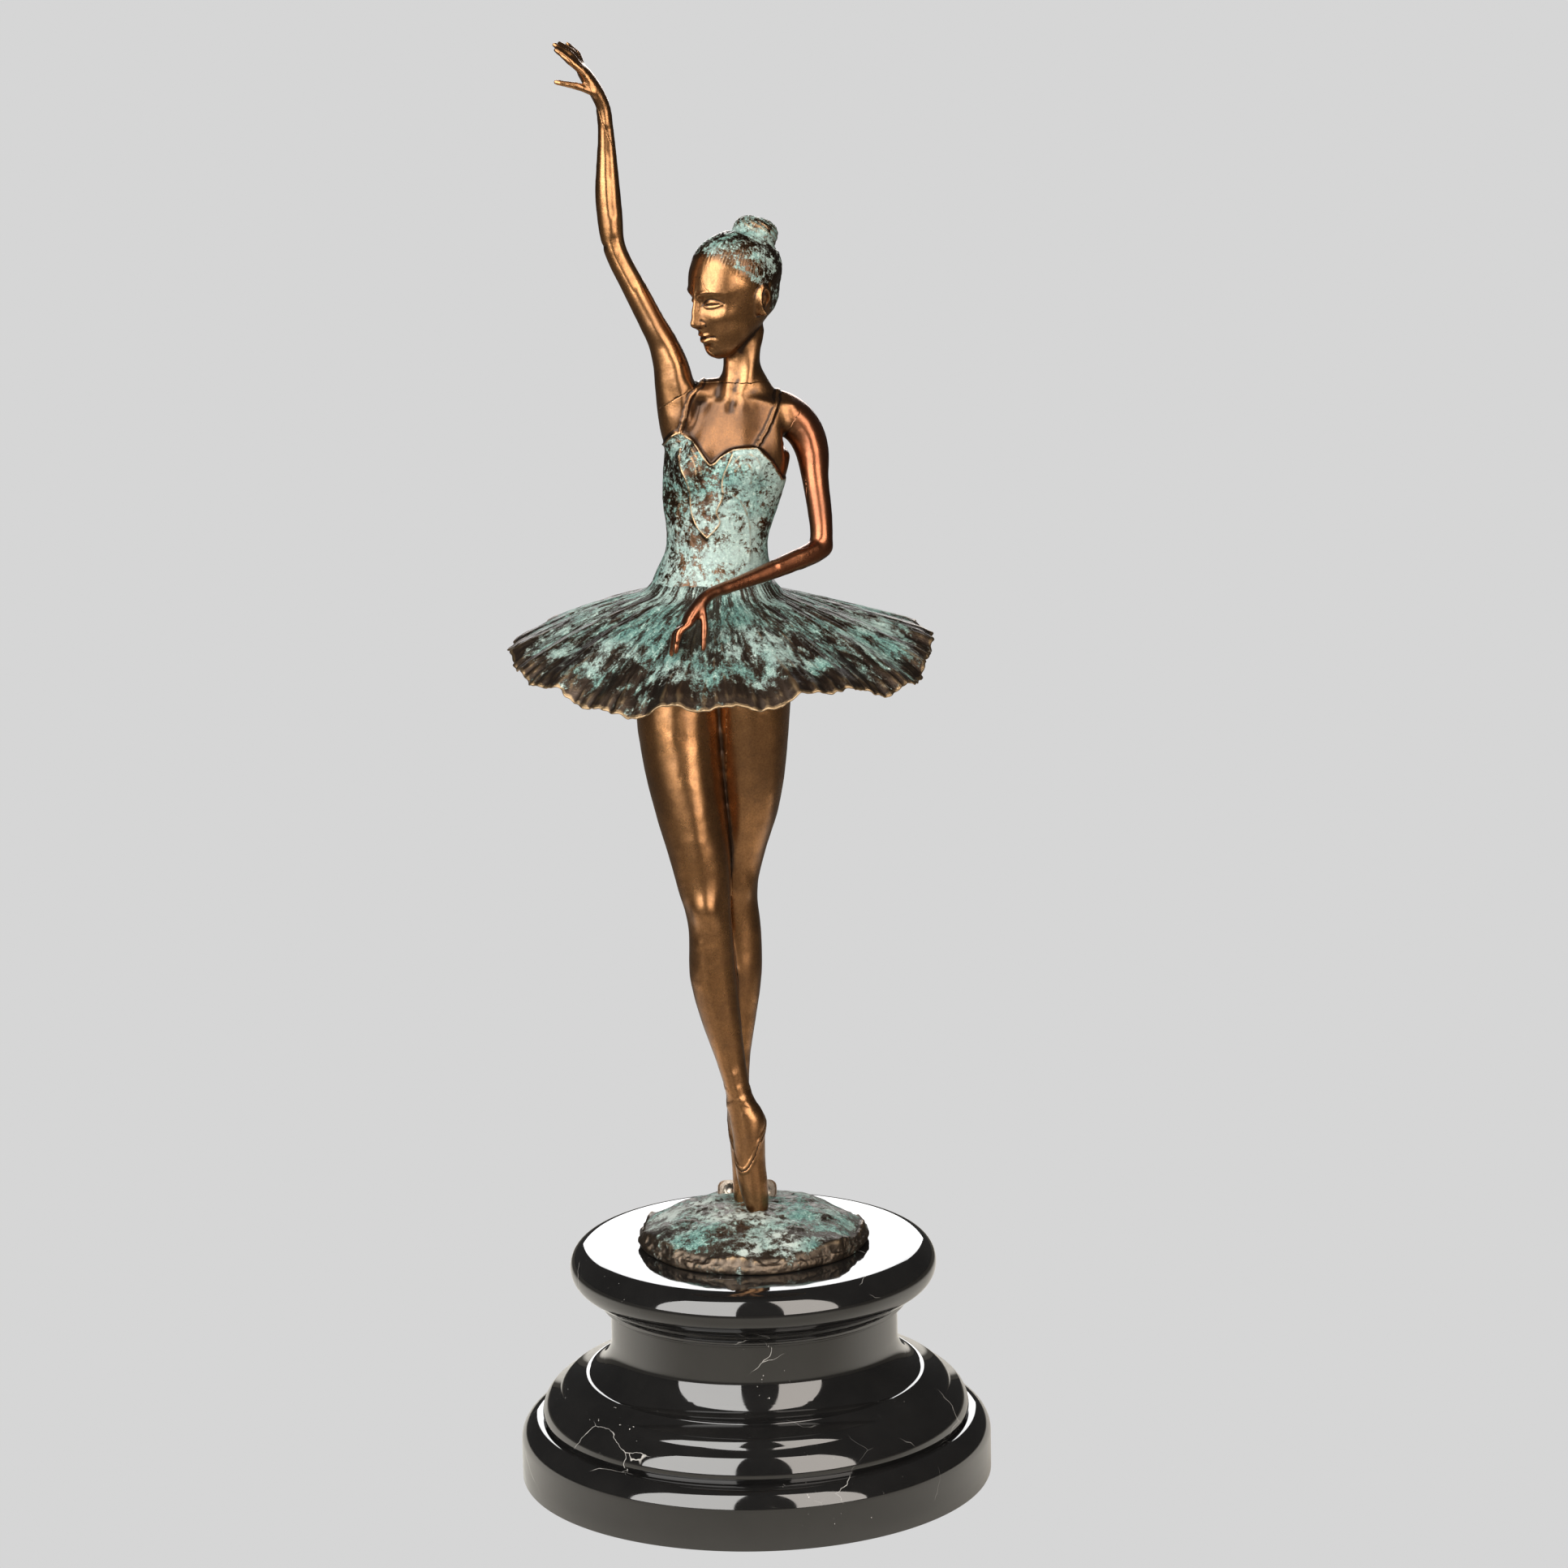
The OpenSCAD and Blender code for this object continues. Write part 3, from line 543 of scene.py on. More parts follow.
def zincSteel():
    material, tree = newMaterial("ZincSteel")
    place = objectPlace(tree)
    grain = noiseNode(tree, stretched(tree, place, (1, 1, 9)), 900.0, 4.0, 0.6)
    bloom = noiseNode(tree, place, 220.0, 4.0, 0.6)
    colour = mixColour(tree, bloom, (0.42, 0.43, 0.45, 1), (0.62, 0.6, 0.55, 1))
    surfaced(tree, {"Base Color": colour, "Metallic": 1.0, "Normal": bumpNode(tree, 0.25, 0.0002, grain),
                    "Roughness": mapRange(tree, grain, 0.3, 0.7, 0.28, 0.45)})
    return material


def greenFelt():
    material, tree = newMaterial("GreenFelt")
    place = objectPlace(tree)
    fibre = noiseNode(tree, place, 2400.0, 6.0, 0.75, 1.5)
    colour = mixColour(tree, fibre, (0.008, 0.03, 0.016, 1), (0.03, 0.085, 0.045, 1))
    surfaced(tree, {"Base Color": colour, "Roughness": 0.95, "Sheen Weight": 0.4,
                    "Normal": bumpNode(tree, 0.8, 0.0005, fibre)})
    return material


marble, steel, felt = blackMarble(), zincSteel(), greenFelt()
for nodeName in ("felt_pad", "threaded_stud", "large_washer", "spring_washer", "hex_nut", "front_toe_pin",
                 "rear_toe_pin", "neck_pin", "raised_shoulder_pin", "lowered_shoulder_pin"):
    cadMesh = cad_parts[nodeName].data
    cadMesh.materials.clear()
    cadMesh.materials.append(felt if nodeName == "felt_pad" else steel)
print("materials done", flush=True)


# ---- stone pedestal, turned ----

def arc(radius, height, size, first, last, count):
    # Points of a circle in the profile, angles from outward, degrees
    angles = [math.radians(first + (last - first) * i / count) for i in range(count + 1)]
    return [(radius + size * math.cos(a), height + size * math.sin(a)) for a in angles]


def turned(name, profile, nodeName):
    bm = bmesh.new()
    verts = [bm.verts.new((r * millimetre, 0, z * millimetre)) for r, z in profile]
    edges = [bm.edges.new((a, b)) for a, b in zip(verts, verts[1:] + verts[:1])]
    bmesh.ops.spin(bm, geom=verts + edges, cent=(0, 0, 0), axis=(0, 0, 1), angle=math.tau, steps=180,
                   use_merge=True)
    bmesh.ops.recalc_face_normals(bm, faces=bm.faces)
    for edge in bm.edges:
        if len(edge.link_faces) == 2 and edge.calc_face_angle(0) > math.radians(38):
            edge.smooth = False
    mesh = newMesh(bm, name)
    for polygon in mesh.polygons:
        polygon.use_smooth = True
    finished(placed(name, mesh), marble, nodeName, smooth=False)


# Heights of the joints, and circles of the profile: radius and height of the middle, size
stone = {"bore": 3.5, "plinthTop": 18, "mouldingTop": 34, "neckTop": 50, "capTop": 67,
         "counterbore": (17, 13), "felt": 1.2, "plinthEdge": (59, 12, 6), "torus": (51.5, 19.2, 7.5),
         "shoulder": (49.5, 24.0, 5), "scotia": (50.5, 40.6, 11), "capEdge": (44.4, 61, 6)}
bore, feltTop, counterR = stone["bore"], stone["felt"], stone["counterbore"][0]
plinthTop, mouldingTop, neckTop, capTop = (
    stone[key] for key in ("plinthTop", "mouldingTop", "neckTop", "capTop"))
turned("PlinthStone", [
    (bore, stone["counterbore"][1]), stone["counterbore"], (counterR, feltTop + 0.3),
    (counterR + 0.3, feltTop), (64.5, feltTop), (64.85, feltTop + 0.15), (65, feltTop + 0.5), (65, 6),
    *arc(*stone["plinthEdge"], 0, 90, 18), (bore, plinthTop),
], "plinth_stone")
turned("MouldingStone", [
    (bore, plinthTop), (58, plinthTop), (58, 18.7), (58.2, 18.8), (58.8, 18.85),
    *arc(*stone["torus"], 0, 47, 14), *arc(*stone["shoulder"], 26, 62, 10), (46.9, 30.2), (46.7, 30.5),
    *arc(*stone["scotia"], 246, 217, 9),
    (41.6, mouldingTop), (bore, mouldingTop),
], "moulding_stone")
turned("NeckStone", [
    (bore, mouldingTop), (41.7, mouldingTop), *arc(*stone["scotia"], 217.5, 180, 12), (39.5, 45),
    (39.5, neckTop), (bore, neckTop),
], "neck_stone")
turned("CapStone", [
    (bore, neckTop), (41.2, neckTop), (41.3, 50.1), (41.3, 50.85), (42.2, 50.9), (42.4, 51.3), (42.5, 52),
    (43.2, 52.8), (44.3, 53.4), (46.5, 55.2), *arc(*stone["capEdge"], -50, 90, 26), (bore, capTop),
], "cap_stone")


# ---- figure: one skin over the castings, worked as a sculpture, then parted at the joints ----

figureSettings = {
    "voxel": 0.35, "parts": ("torso_casting", "head_casting", "raised_arm_casting", "lowered_arm_casting",
                            "front_leg_casting", "rear_leg_casting"),
    "hipZ": 224, "neckPlace": (1.9, 2.2, 304.5), "raisedPlace": (-15.7, 0.6, 301),
    "loweredPlace": (14.8, 2.1, 294.6), "headMiddle": (0.2, 0, 328.4), "headYaw": -52, "headNod": 10,
    "bunMiddle": (5.4, 4.2, 342.6),
}
figure = remeshed(figureSettings["parts"], figureSettings["voxel"])
bm = opened(figure)
bmesh.ops.delete(bm, geom=smallShells(bm, 3000), context="VERTS")
closed(bm, figure)
print("figure skin", len(figure.polygons), flush=True)

joined = links(figure)
co = coordinates(figure)
headTurn = np.array((Matrix.Rotation(math.radians(figureSettings["headYaw"]), 3, "Z")
                     @ Matrix.Rotation(math.radians(figureSettings["headNod"]), 3, "X")))


def inHead(points):
    # x to the sides, -y out of the face, z to the crown, about the skull's middle
    return (points - np.array(figureSettings["headMiddle"])) @ headTurn


def inRaisedArm(points):
    return (points[:, 2] > 304) & (points[:, 0] < -9 - 0.35 * (points[:, 2] - 304.5))


# Long smoothing everywhere but on the head, the feet and the hands
large = np.where(co[:, 2] > 306, 0.12, 1.0) * np.where(co[:, 2] < 118, 0.3, 1.0)
raisedArm = inRaisedArm(co)
loweredArm = ((co[:, 1] < -13.4) | (co[:, 0] > 18.2)) & (co[:, 2] > 226)
large[raisedArm | loweredArm] = 0.5
large[(co[:, 2] > 378) | (loweredArm & (co[:, 1] < -31))] = 0.06
large = averaged(averaged(large, joined), joined)[:, None]
co = smoothed(co, joined, 6)
co = smoothed(co, joined, 60, large)
setCoordinates(figure, co)

# Finer faces where the small features are
local = inHead(co)
faceArea = (local[:, 1] < -4) & (np.abs(local[:, 0]) < 8.6) & (local[:, 2] < 8) & (local[:, 2] > -16.5)
faceArea &= co[:, 2] > 310
earArea = (np.abs(local[:, 0]) > 8.2) & (np.abs(local[:, 1] - 1.2) < 3.4) & (np.abs(local[:, 2] + 2) < 5)
handArea = (co[:, 2] > 382) | ((co[:, 1] < -33) & (co[:, 2] < 252))
chosen = faceArea | (earArea & (co[:, 2] > 310)) | handArea
bm = opened(figure)
fineEdges = [e for e in bm.edges if chosen[e.verts[0].index] and chosen[e.verts[1].index]]
bmesh.ops.subdivide_edges(bm, edges=fineEdges, cuts=1, use_grid_fill=True)
bmesh.ops.triangulate(bm, faces=[f for f in bm.faces if len(f.verts) > 4])
closed(bm, figure)
joined = links(figure)
co = smoothed(coordinates(figure), joined, 2)
setCoordinates(figure, co)
print("figure smoothed", len(figure.polygons), flush=True)

# Face, on plain even proportions: pairs are mirrored; (middle x, z), (half sizes), rise
faceSettings = {
    "pairs": [
        ((4.1, 0.7), (2.9, 2.1), -1.0), ((1.9, 0.6), (1.0, 1.6), -0.5), ((4.15, 0.15), (1.9, 1.35), 0.95),
        ((5.9, -4.4), (3.0, 2.4), 0.22), ((5.6, -9.0), (2.2, 2.8), -0.25), ((1.45, -5.1), (0.75, 0.8), 0.55),
        ((0.75, -6.15), (0.5, 0.4), -0.5), ((3.2, -9.0), (0.7, 0.8), -0.25),
         ((1.0, -8.25), (1.25, 0.55), 0.5),
        ((4.4, 2.9), (3.0, 1.0), 0.3),
    ],
    "middle": [
        ((0, -0.6), (0.85, 3.4), 0.7), ((0, -4.7), (1.15, 1.2), 0.55), ((0, -7.4), (0.5, 0.7), -0.15),
        ((0, -9.95), (1.8, 0.65), 0.65), ((0, -11.5), (2.3, 0.7), -0.35), ((0, -13.6), (2.4, 1.5), 0.35),
    ],
    "lines": [
        ([(1.9, -0.3), (2.9, 0.85), (4.4, 1.2), (5.9, 0.55), (6.6, -0.15)], 0.28, -0.34),
        ([(2.0, -0.35), (3.0, 0.3), (4.4, 0.6), (5.7, 0.1), (6.3, -0.3)], 0.24, 0.3),
        ([(2.0, -0.4), (3.0, -0.75), (4.3, -0.9), (5.6, -0.55), (6.2, -0.25)], 0.22, 0.22),
        ([(2.1, -0.38), (3.0, -0.2), (4.3, -0.25), (5.6, -0.2), (6.1, -0.26)], 0.2, -0.26),
        ([(1.4, 2.7), (3.2, 3.5), (5.2, 3.5), (7.2, 2.6)], 0.5, 0.3),
        ([(1.5, -4.0), (2.15, -4.7), (2.05, -5.7)], 0.3, -0.28),
    ],
    "mouth": ([(-3.0, -8.95), (-1.5, -8.85), (0, -9.1), (1.5, -8.85), (3.0, -8.95)], 0.26, -0.5),
}
local = inHead(co)
normals = vertexNormals(figure)
front = step(-2.5, -5.5, local[:, 1]) * (co[:, 2] > 309)
side = np.stack([np.abs(local[:, 0]), local[:, 2]], 1)
forward = headTurn @ np.array([0, -1, 0])
push = 0.55 * normals + 0.45 * forward
rise = np.zeros(len(co))
for middle, size, amount in faceSettings["pairs"]:
    rise += amount * spot(side, middle, size)
for middle, size, amount in faceSettings["middle"]:
    rise += amount * spot(local[:, [0, 2]], middle, size)
for line, width, amount in faceSettings["lines"]:
    rise += 0.7 * amount * strokeWeight(side, line, width)
line, width, amount = faceSettings["mouth"]
rise += amount * strokeWeight(local[:, [0, 2]], line, width)
co = moved(co, push, rise * front)

# Ears: a raised rim and lobe round a hollow
earSettings = {"middle": (1.4, -2.1), "rim": (2.2, 4.0), "hollow": (1.2, 2.3)}
earPlane = local[:, 1:] - np.array(earSettings["middle"])
outside = step(8.2, 9.2, np.abs(local[:, 0])) * (co[:, 2] > 310)
rimGap = np.linalg.norm(earPlane / np.array(earSettings["rim"]), axis=1)
earRise = 1.25 * bell(rimGap - 0.92, 0.24)
earRise -= 1.5 * spot(local[:, 1:], earSettings["middle"], earSettings["hollow"])
earRise += 0.4 * spot(local[:, 1:], (0.4, -5.0), (1.0, 0.9))
co = moved(co, headTurn[:, 0], np.sign(local[:, 0]) * earRise * outside)
setCoordinates(figure, co)
co = smoothed(co, joined, 1)

# Hair drawn back to the bun in fine locks, with a beaded tie and a coiled bun
hairSettings = {
    "line": [(0, 12.0), (30, 11.2), (55, 8.6), (78, 4.4), (100, 0.6), (125, -5.5), (180, -9.5)],
    "lift": 0.35, "locks": 54, "lockDepth": 0.1, "coil": 5, "coilDepth": 0.3, "beads": 22,
}
local = inHead(co)
turnAngle = np.degrees(np.arctan2(np.abs(local[:, 0]), -local[:, 1]))
hairline = np.interp(turnAngle, *zip(*hairSettings["line"]))
onHead = (co[:, 2] > 312) & (co[:, 0] > -13.5)
overEar = (np.abs(local[:, 0]) > 8.4) & (np.abs(local[:, 1] - 1.4) < 2.9) & (local[:, 2] < 2.4)
ragged = 0.5 * np.sin(0.9 * turnAngle) + 0.35 * np.sin(2.3 * turnAngle + 1)
hair = step(-1.3, 1.1, local[:, 2] - hairline + ragged) * onHead * (1 - overEar)
for i in range(4):
    hair = averaged(hair, joined)
bunTurn = np.array(Matrix.Rotation(math.radians(16), 3, "Y") @ Matrix.Rotation(math.radians(-6), 3, "X"))
inBun = (co - np.array(figureSettings["bunMiddle"])) @ bunTurn
bunAngle = np.arctan2(inBun[:, 1], inBun[:, 0])
bunRadius = np.hypot(inBun[:, 0], inBun[:, 1])
bun = step(-2.4, -1.6, inBun[:, 2]) * (bunRadius < 8) * onHead
tie = step(-4.7, -4.2, inBun[:, 2]) * (1 - step(-2.2, -1.7, inBun[:, 2])) * (bunRadius < 6.4) * onHead
lockWave = np.sin(hairSettings["locks"] * bunAngle + 3.0 * np.sin(3 * bunAngle) + 0.22 * inBun[:, 2])
lockWave = 1 - np.abs(lockWave) ** 0.6 * 1.4 + 0.35 * np.sin(97 * bunAngle + 0.5 * inBun[:, 2])
coilWave = np.sin(hairSettings["coil"] * bunAngle + 2.1 * inBun[:, 2] + 0.8 * np.sin(2 * bunAngle))
coilWave = np.abs(coilWave) ** 0.7 - 0.5 + 0.25 * np.sin(31 * bunAngle + 9 * inBun[:, 2])
beadRow = np.abs(np.sin(hairSettings["beads"] / 2 * bunAngle + 1.6 * (inBun[:, 2] > -3.3)))
beadWave = beadRow * bell(np.abs(inBun[:, 2] + 3.3) - 0.65, 0.45) * 0.55
normals = vertexNormals(figure)
scalp = hair * (1 - bun) * (1 - tie)
rise = scalp * (hairSettings["lift"] + hairSettings["lockDepth"] * lockWave)
rise += bun * hairSettings["coilDepth"] * coilWave + tie * beadWave
co = moved(co, normals, rise)
setCoordinates(figure, co)
print("head worked", flush=True)

# Neck, collarbones and shoulders: line, width, rise
neckStrokes = [
    ([(7.2, 0.5, 318), (4.4, -2.6, 309), (1.0, -4.6, 301.5)], 1.9, 0.6),
    ([(-4.2, -1.5, 313), (-3.4, -3.4, 306), (-2.4, -4.8, 300.5)], 1.4, 0.4),
    ([(1.9, -3.4, 312), (-0.2, -4.6, 304), (-0.9, -5.4, 300.4)], 1.8, -0.28),
    ([(0.4, -6.3, 299.2), (5, -5.6, 300.2), (9.5, -4.2, 299), (14.5, -2.5, 298.4)], 1.8, 0.5),
    ([(3, -4.8, 303.4), (7.5, -3.6, 302.6), (11, -2, 301.6)], 2.4, -0.42),
    ([(-3.6, -6.2, 299.4), (-7.5, -5.6, 301.4), (-11.2, -4.6, 304.2)], 1.6, 0.45),
    ([(-5.4, -3.6, 304.2), (-8.6, -3.0, 305.8)], 2.0, -0.22),
    ([(-1.8, -6.0, 299.3), (-1.6, -6.2, 298.4)], 1.8, -0.4),
    ([(-16.5, -6.5, 299), (-18.6, -5.6, 308), (-19.6, -4.6, 314)], 2.4, -0.3),
    ([(-12.8, -6.0, 296), (-13.8, -5.8, 303), (-15, -5, 310)], 2.0, 0.3),
    ([(12.6, -5.5, 293), (13.2, -5.2, 287), (13.8, -4.4, 284)], 1.6, -0.4),
    ([(15.5, -4.5, 297.4), (19, -3.4, 293), (20.4, -3.4, 285)], 2.4, 0.35),
    ([(1.5, 10.5, 296), (-0.5, 11.6, 280), (-2.5, 12, 262)], 3.4, -0.45),
]
skinTree = pointTree(co)
co = moved(co, vertexNormals(figure), strokeRise(co, neckStrokes, skinTree))

# Bodice: a cloth layer with straps, cup edges and folded leaves round a front panel
bodiceSettings = {
    "edgeFront": [(-26, 288.2), (-19.5, 288.6), (-17.2, 291.4), (-15.1, 292.2), (-11.4, 289.8), (-7.3, 284.1),
                  (-4.0, 286.3), (-0.8, 288.1), (5.1, 288.4), (8.8, 284.4), (11.4, 279.6), (20, 278.2)],
    "edgeBack": [(-26, 288), (-19, 287.5), (-12, 281), (-3, 277.5), (6, 278), (12, 279), (20, 278.6)],
    "lift": 0.45,
    "straps": [[(-15.1, -8.0, 292.2), (-12.9, -7.8, 296.7), (-11.2, -6.0, 301.4), (-9.6, -2, 304.6),
                (-8.4, 4.6, 302.6), (-9.6, 9.6, 292), (-10.6, 10.8, 284)],
               [(5.1, -8.6, 288.6), (7.3, -7.6, 292.2), (9.3, -5.4, 296.2), (10.4, -1.2, 300),
                (9.4, 6.4, 298.6), (6.4, 10.4, 289), (5.2, 11.2, 281)]],
    "seams": [
        ([(-19.6, 288.3), (-17.2, 291.2), (-15.1, 292), (-11.4, 289.6), (-7.3, 283.9), (-4, 286.1),
          (-0.8, 287.9), (5.1, 288.2), (8.8, 284.2), (11.2, 279.6)], 0.42, 0.42),
        ([(-14.8, 287.6), (-15, 284), (-12.7, 277.6), (-12.3, 271.5), (-10.7, 267.2), (-8.3, 264.5)],
         0.38, 0.42),
        ([(-1.1, 286.7), (-3.8, 280), (-4, 275.6), (-5.7, 271.5), (-5, 268.4), (-8.3, 264.5)], 0.38, 0.42),
        ([(-17.6, 287.4), (-16, 289.6), (-13, 288.8), (-10.6, 285.6), (-9.6, 281.6)], 0.45, 0.18),
        ([(-16.4, 284.6), (-14, 286.6), (-11.6, 285), (-10.8, 281.4)], 0.4, 0.15),
        ([(-1.4, 283.6), (0.6, 286.2), (3.4, 286.6), (5.6, 284.2), (5, 280.4)], 0.45, 0.18),
        ([(-0.6, 282.6), (1.6, 284.6), (3.6, 283), (3.2, 279.4)], 0.4, 0.15),
        ([(-12.6, 277.8), (-15, 274.4), (-16.2, 268.6), (-16.4, 260)], 0.45, 0.22),
        ([(-3.9, 277), (0.4, 274.6), (2.6, 268), (2.4, 258)], 0.45, 0.22),
        ([(-10.2, 279.6), (-8.6, 274.8), (-8.2, 270.6)], 0.6, -0.18),
    ],
}
normals = vertexNormals(figure)
trunk = (co[:, 0] > -26.5) & (co[:, 0] < 17.6) & (co[:, 1] > -13.2) & (co[:, 2] > 222) & (co[:, 2] < 304)
armpitArm = step(12.0, 13.2, co[:, 0]) * (co[:, 2] > 251)
isFront = step(3.0, 0.0, co[:, 1])
edgeZ = (np.interp(co[:, 0], *zip(*bodiceSettings["edgeFront"])) * isFront
         + np.interp(co[:, 0], *zip(*bodiceSettings["edgeBack"])) * (1 - isFront))
cloth = step(0.22, -0.22, co[:, 2] - edgeZ) * trunk * (1 - armpitArm)
frontFace = step(0.12, -0.2, normals[:, 1]) * trunk
rise = cloth * bodiceSettings["lift"]
seamMask = np.zeros(len(co))
for line, width, amount in bodiceSettings["seams"]:
    weight = strokeWeight(co[:, [0, 2]], line, width) * frontFace
    seamMask = np.maximum(seamMask, weight * (amount > 0.25))
    rise += amount * weight
strapMask = np.zeros(len(co))
for line in bodiceSettings["straps"]:
    gap = lineGap(co, snapped(line, skinTree), 3)
    strapMask = np.maximum(strapMask, step(0.62, 0.4, gap) * (co[:, 2] > edgeZ - 0.6))
    rise -= 0.05 * bell(gap - 1.0, 0.3)
rise += 0.32 * strapMask
clothPoints = np.flatnonzero(cloth > 0.02)
crumple = np.zeros(len(co))
crumple[clothPoints] = texture(co[clothPoints] * np.array([1.0, 1.0, 0.42]), 2.6, 3, 1.0)
rise += cloth * crumple * 0.16
co = moved(co, normals, rise)
setCoordinates(figure, co)
print("bodice worked", flush=True)

# Arms, legs and feet: line, width, rise; then middle, size, rise
limbStrokes = [
    ([(-25.9, -4.6, 331), (-29.6, -4.8, 338), (-31.4, -4.9, 343)], 1.1, -0.22),
    ([(-35.2, -1.2, 341.2), (-34.8, -2.4, 341.0), (-34.2, -3.8, 341.2)], 0.7, -0.3),
    ([(-31.6, -5.0, 350), (-32.0, -5.1, 360), (-32.6, -4.8, 372)], 0.9, -0.22),
    ([(-34.5, -2.0, 372), (-34.6, -3.2, 377)], 0.6, 0.25),
    ([(20.4, -12.2, 261.6), (17.0, -14.8, 260.6), (10.5, -19.8, 258.8)], 0.9, 0.2),
    ([(15, -14.8, 257.2), (6, -21, 254.6), (-2, -27.2, 253)], 1.0, -0.22),
    ([(23.6, -4.8, 262), (24.6, -6.2, 260.8)], 0.9, 0.25),
    ([(-13.2, -10.6, 153), (-12.2, -10.4, 144), (-8.9, -9.6, 130), (-5.4, -7.8, 112)], 1.9, 0.32),
    ([(-9.8, -11.6, 152), (-8.6, -11, 142), (-6.0, -9.6, 128), (-3.4, -8, 114)], 2.1, -0.2),
    ([(-16.4, -11.6, 218), (-16.6, -11.4, 204), (-15.2, -11.6, 186), (-13.8, -11.4, 174)], 2.6, -0.2),
    ([(-9.4, -10.6, 214), (-9.2, -11, 200), (-8.2, -11, 184)], 2.2, -0.14),
    ([(5.6, -9.0, 216), (6.8, -8.8, 202), (5.2, -5.6, 186)], 2.0, -0.3),
    ([(-7.8, -2.4, 107), (-6.8, -3.0, 106)], 1.3, 0.3), ([(2.0, -3.2, 105), (1.6, -4.0, 104)], 1.4, 0.12),
    ([(-4.4, -6.9, 116), (-3.0, -7.2, 108), (-1.8, -7.2, 101)], 0.9, 0.15),
]
kneeSpots = [((-10.6, -11.8, 164.6), (3.4, 3.4, 4.0), 0.3), ((-14.8, -9, 163), (1.6, 2.6, 4.5), -0.35),
             ((-6.4, -9.6, 163.4), (1.7, 2.6, 4.5), -0.35), ((-10.6, -11, 157), (2.4, 3, 2.2), -0.2),
             ((-13.6, -12, 178), (3.8, 3.8, 10), 0.3), ((-9.4, -4, 146), (2.6, 4, 12), 0.25),
             ((1.4, -0.4, 166), (3, 3, 3.6), 0.4), ((3.6, 0.6, 152), (2.4, 5, 9), 0.35)]
shoeSettings = {
    "front": [(3.4, -0.4, 103.5), (3.7, -3.4, 100), (2.6, -6.4, 96.6), (0.6, -7.2, 92.4), (-1.6, -7.0, 89.2),
              (-3.6, -5.6, 89.4), (-4.8, -2.6, 93.6), (-4.4, 0.8, 99.5)],
    "rear": [(0.6, 8.4, 104), (0.8, 5.8, 100), (-0.6, 3.2, 95), (-2.6, 2.4, 91.4), (-4.8, 3.8, 92.6),
             (-6.2, 6.2, 97), (-5.8, 9.2, 102)],
    "ribbons": [[(-6.4, -3.0, 106.5), (-3.6, -7.0, 108.4), (1.4, -5.2, 110.6), (1.0, -0.8, 112)],
                [(1.8, -2.2, 105.6), (-1.6, -7.4, 108.2), (-6.2, -5.6, 111), (-7.2, -1.6, 112.4)]],
}
normals = vertexNormals(figure)
rise = strokeRise(co, limbStrokes, skinTree)
for middle, size, amount in kneeSpots:
    rise += amount * spot(co, middle, size)
for key in ("front", "rear"):
    gap = lineGap(co, snapped(shoeSettings[key], skinTree), 2)
    rise += 0.28 * bell(gap - 0.35, 0.4) - 0.2 * bell(gap, 0.3)
for line in shoeSettings["ribbons"]:
    gap = lineGap(co, snapped(line, skinTree), 2)
    rise += 0.08 * step(0.9, 0.4, gap)

# Knuckles and creases of the fingers: where each one bends, and its tip
fingerRoots = {
    "raised": [((-41.7, -7.2, 390.2), (-45.4, -6.8, 393.2)), ((-41.6, -5.4, 391.6), (-45.8, -5, 394.4)),
               ((-41, -3.5, 392), (-44.6, -3.2, 394.6)), ((-39.8, -1.8, 391.6), (-42.6, -1.4, 394.4)),
               ((-39.8, -7.4, 383.6), (-45.6, -7.6, 384.8))],
    "lowered": [((-15.8, -39.6, 244.6), (-16.8, -39.8, 239.4)), ((-16.8, -37.8, 243.8), (-18, -38, 238.4)),
                ((-17, -36, 243.4), (-18, -36.2, 238.8)), ((-16.4, -34, 243), (-17, -34.2, 239.8)),
                ((-9.2, -37.2, 245.4), (-9.6, -38, 239.6))],
}
for fingers in fingerRoots.values():
    for bend, tip in fingers:
        bend, tip = np.array(bend), np.array(tip)
        rise += 0.16 * spot(co, bend, (1.1, 1.1, 1.1))
        rise -= 0.1 * spot(co, bend * 0.45 + tip * 0.55, (0.9, 0.9, 0.5))
co = moved(co, normals, rise)

# Cast metal is never quite even
waviness = texture(co, 5.5, 2, 4.0) * 0.06
co = moved(co, normals, waviness)
setCoordinates(figure, co)
print("limbs worked", flush=True)

# Wear and shade: high places rubbed bright; hollows dark, partly patina and partly painted shade; green:
# cloth and hair
blurSmall = smoothed(co, joined, 8)
blurLarge = smoothed(blurSmall, joined, 40)
normals = vertexNormals(figure)
wearAndShade = curvature(co, blurSmall, normals, 0.11) * 0.6
wearAndShade += curvature(co, blurLarge, normals, 0.45) * 0.35
clothSoft = averaged(averaged(cloth * (1 - strapMask), joined), joined)
rightward = step(-14, 4, co[:, 0])
clothGreen = 0.52 + 0.11 * rightward + 0.07 * step(268, 252, co[:, 2])
green = clothSoft * clothGreen + (hair * 0.5 + bun * 0.1) * (1 - clothSoft)
covered = np.clip(clothSoft + hair, 0, 1)
wearAndShade = np.where(wearAndShade > 0, wearAndShade * (0.3 + 0.45 * covered), wearAndShade * 1.1) + 0.12 * seamMask
setAttribute(figure, "green", green)
setAttribute(figure, "wearAndShade", wearAndShade)
# Tone: the lowered arm's own copper red; painted shade darkens the chest
lowArm = np.maximum(step(10, 20, co[:, 0]) * step(240, 256, co[:, 2]),
                    step(-12, -19, co[:, 1]) * step(234, 240, co[:, 2]))
paintedChestShade = (step(8, -4, co[:, 1]) * step(305, 297, co[:, 2]) * step(270, 282, co[:, 2])
         * step(-21, -13, co[:, 0]) * step(14, 7, co[:, 0]))
setAttribute(figure, "toneAndShade", lowArm - 0.85 * paintedChestShade)

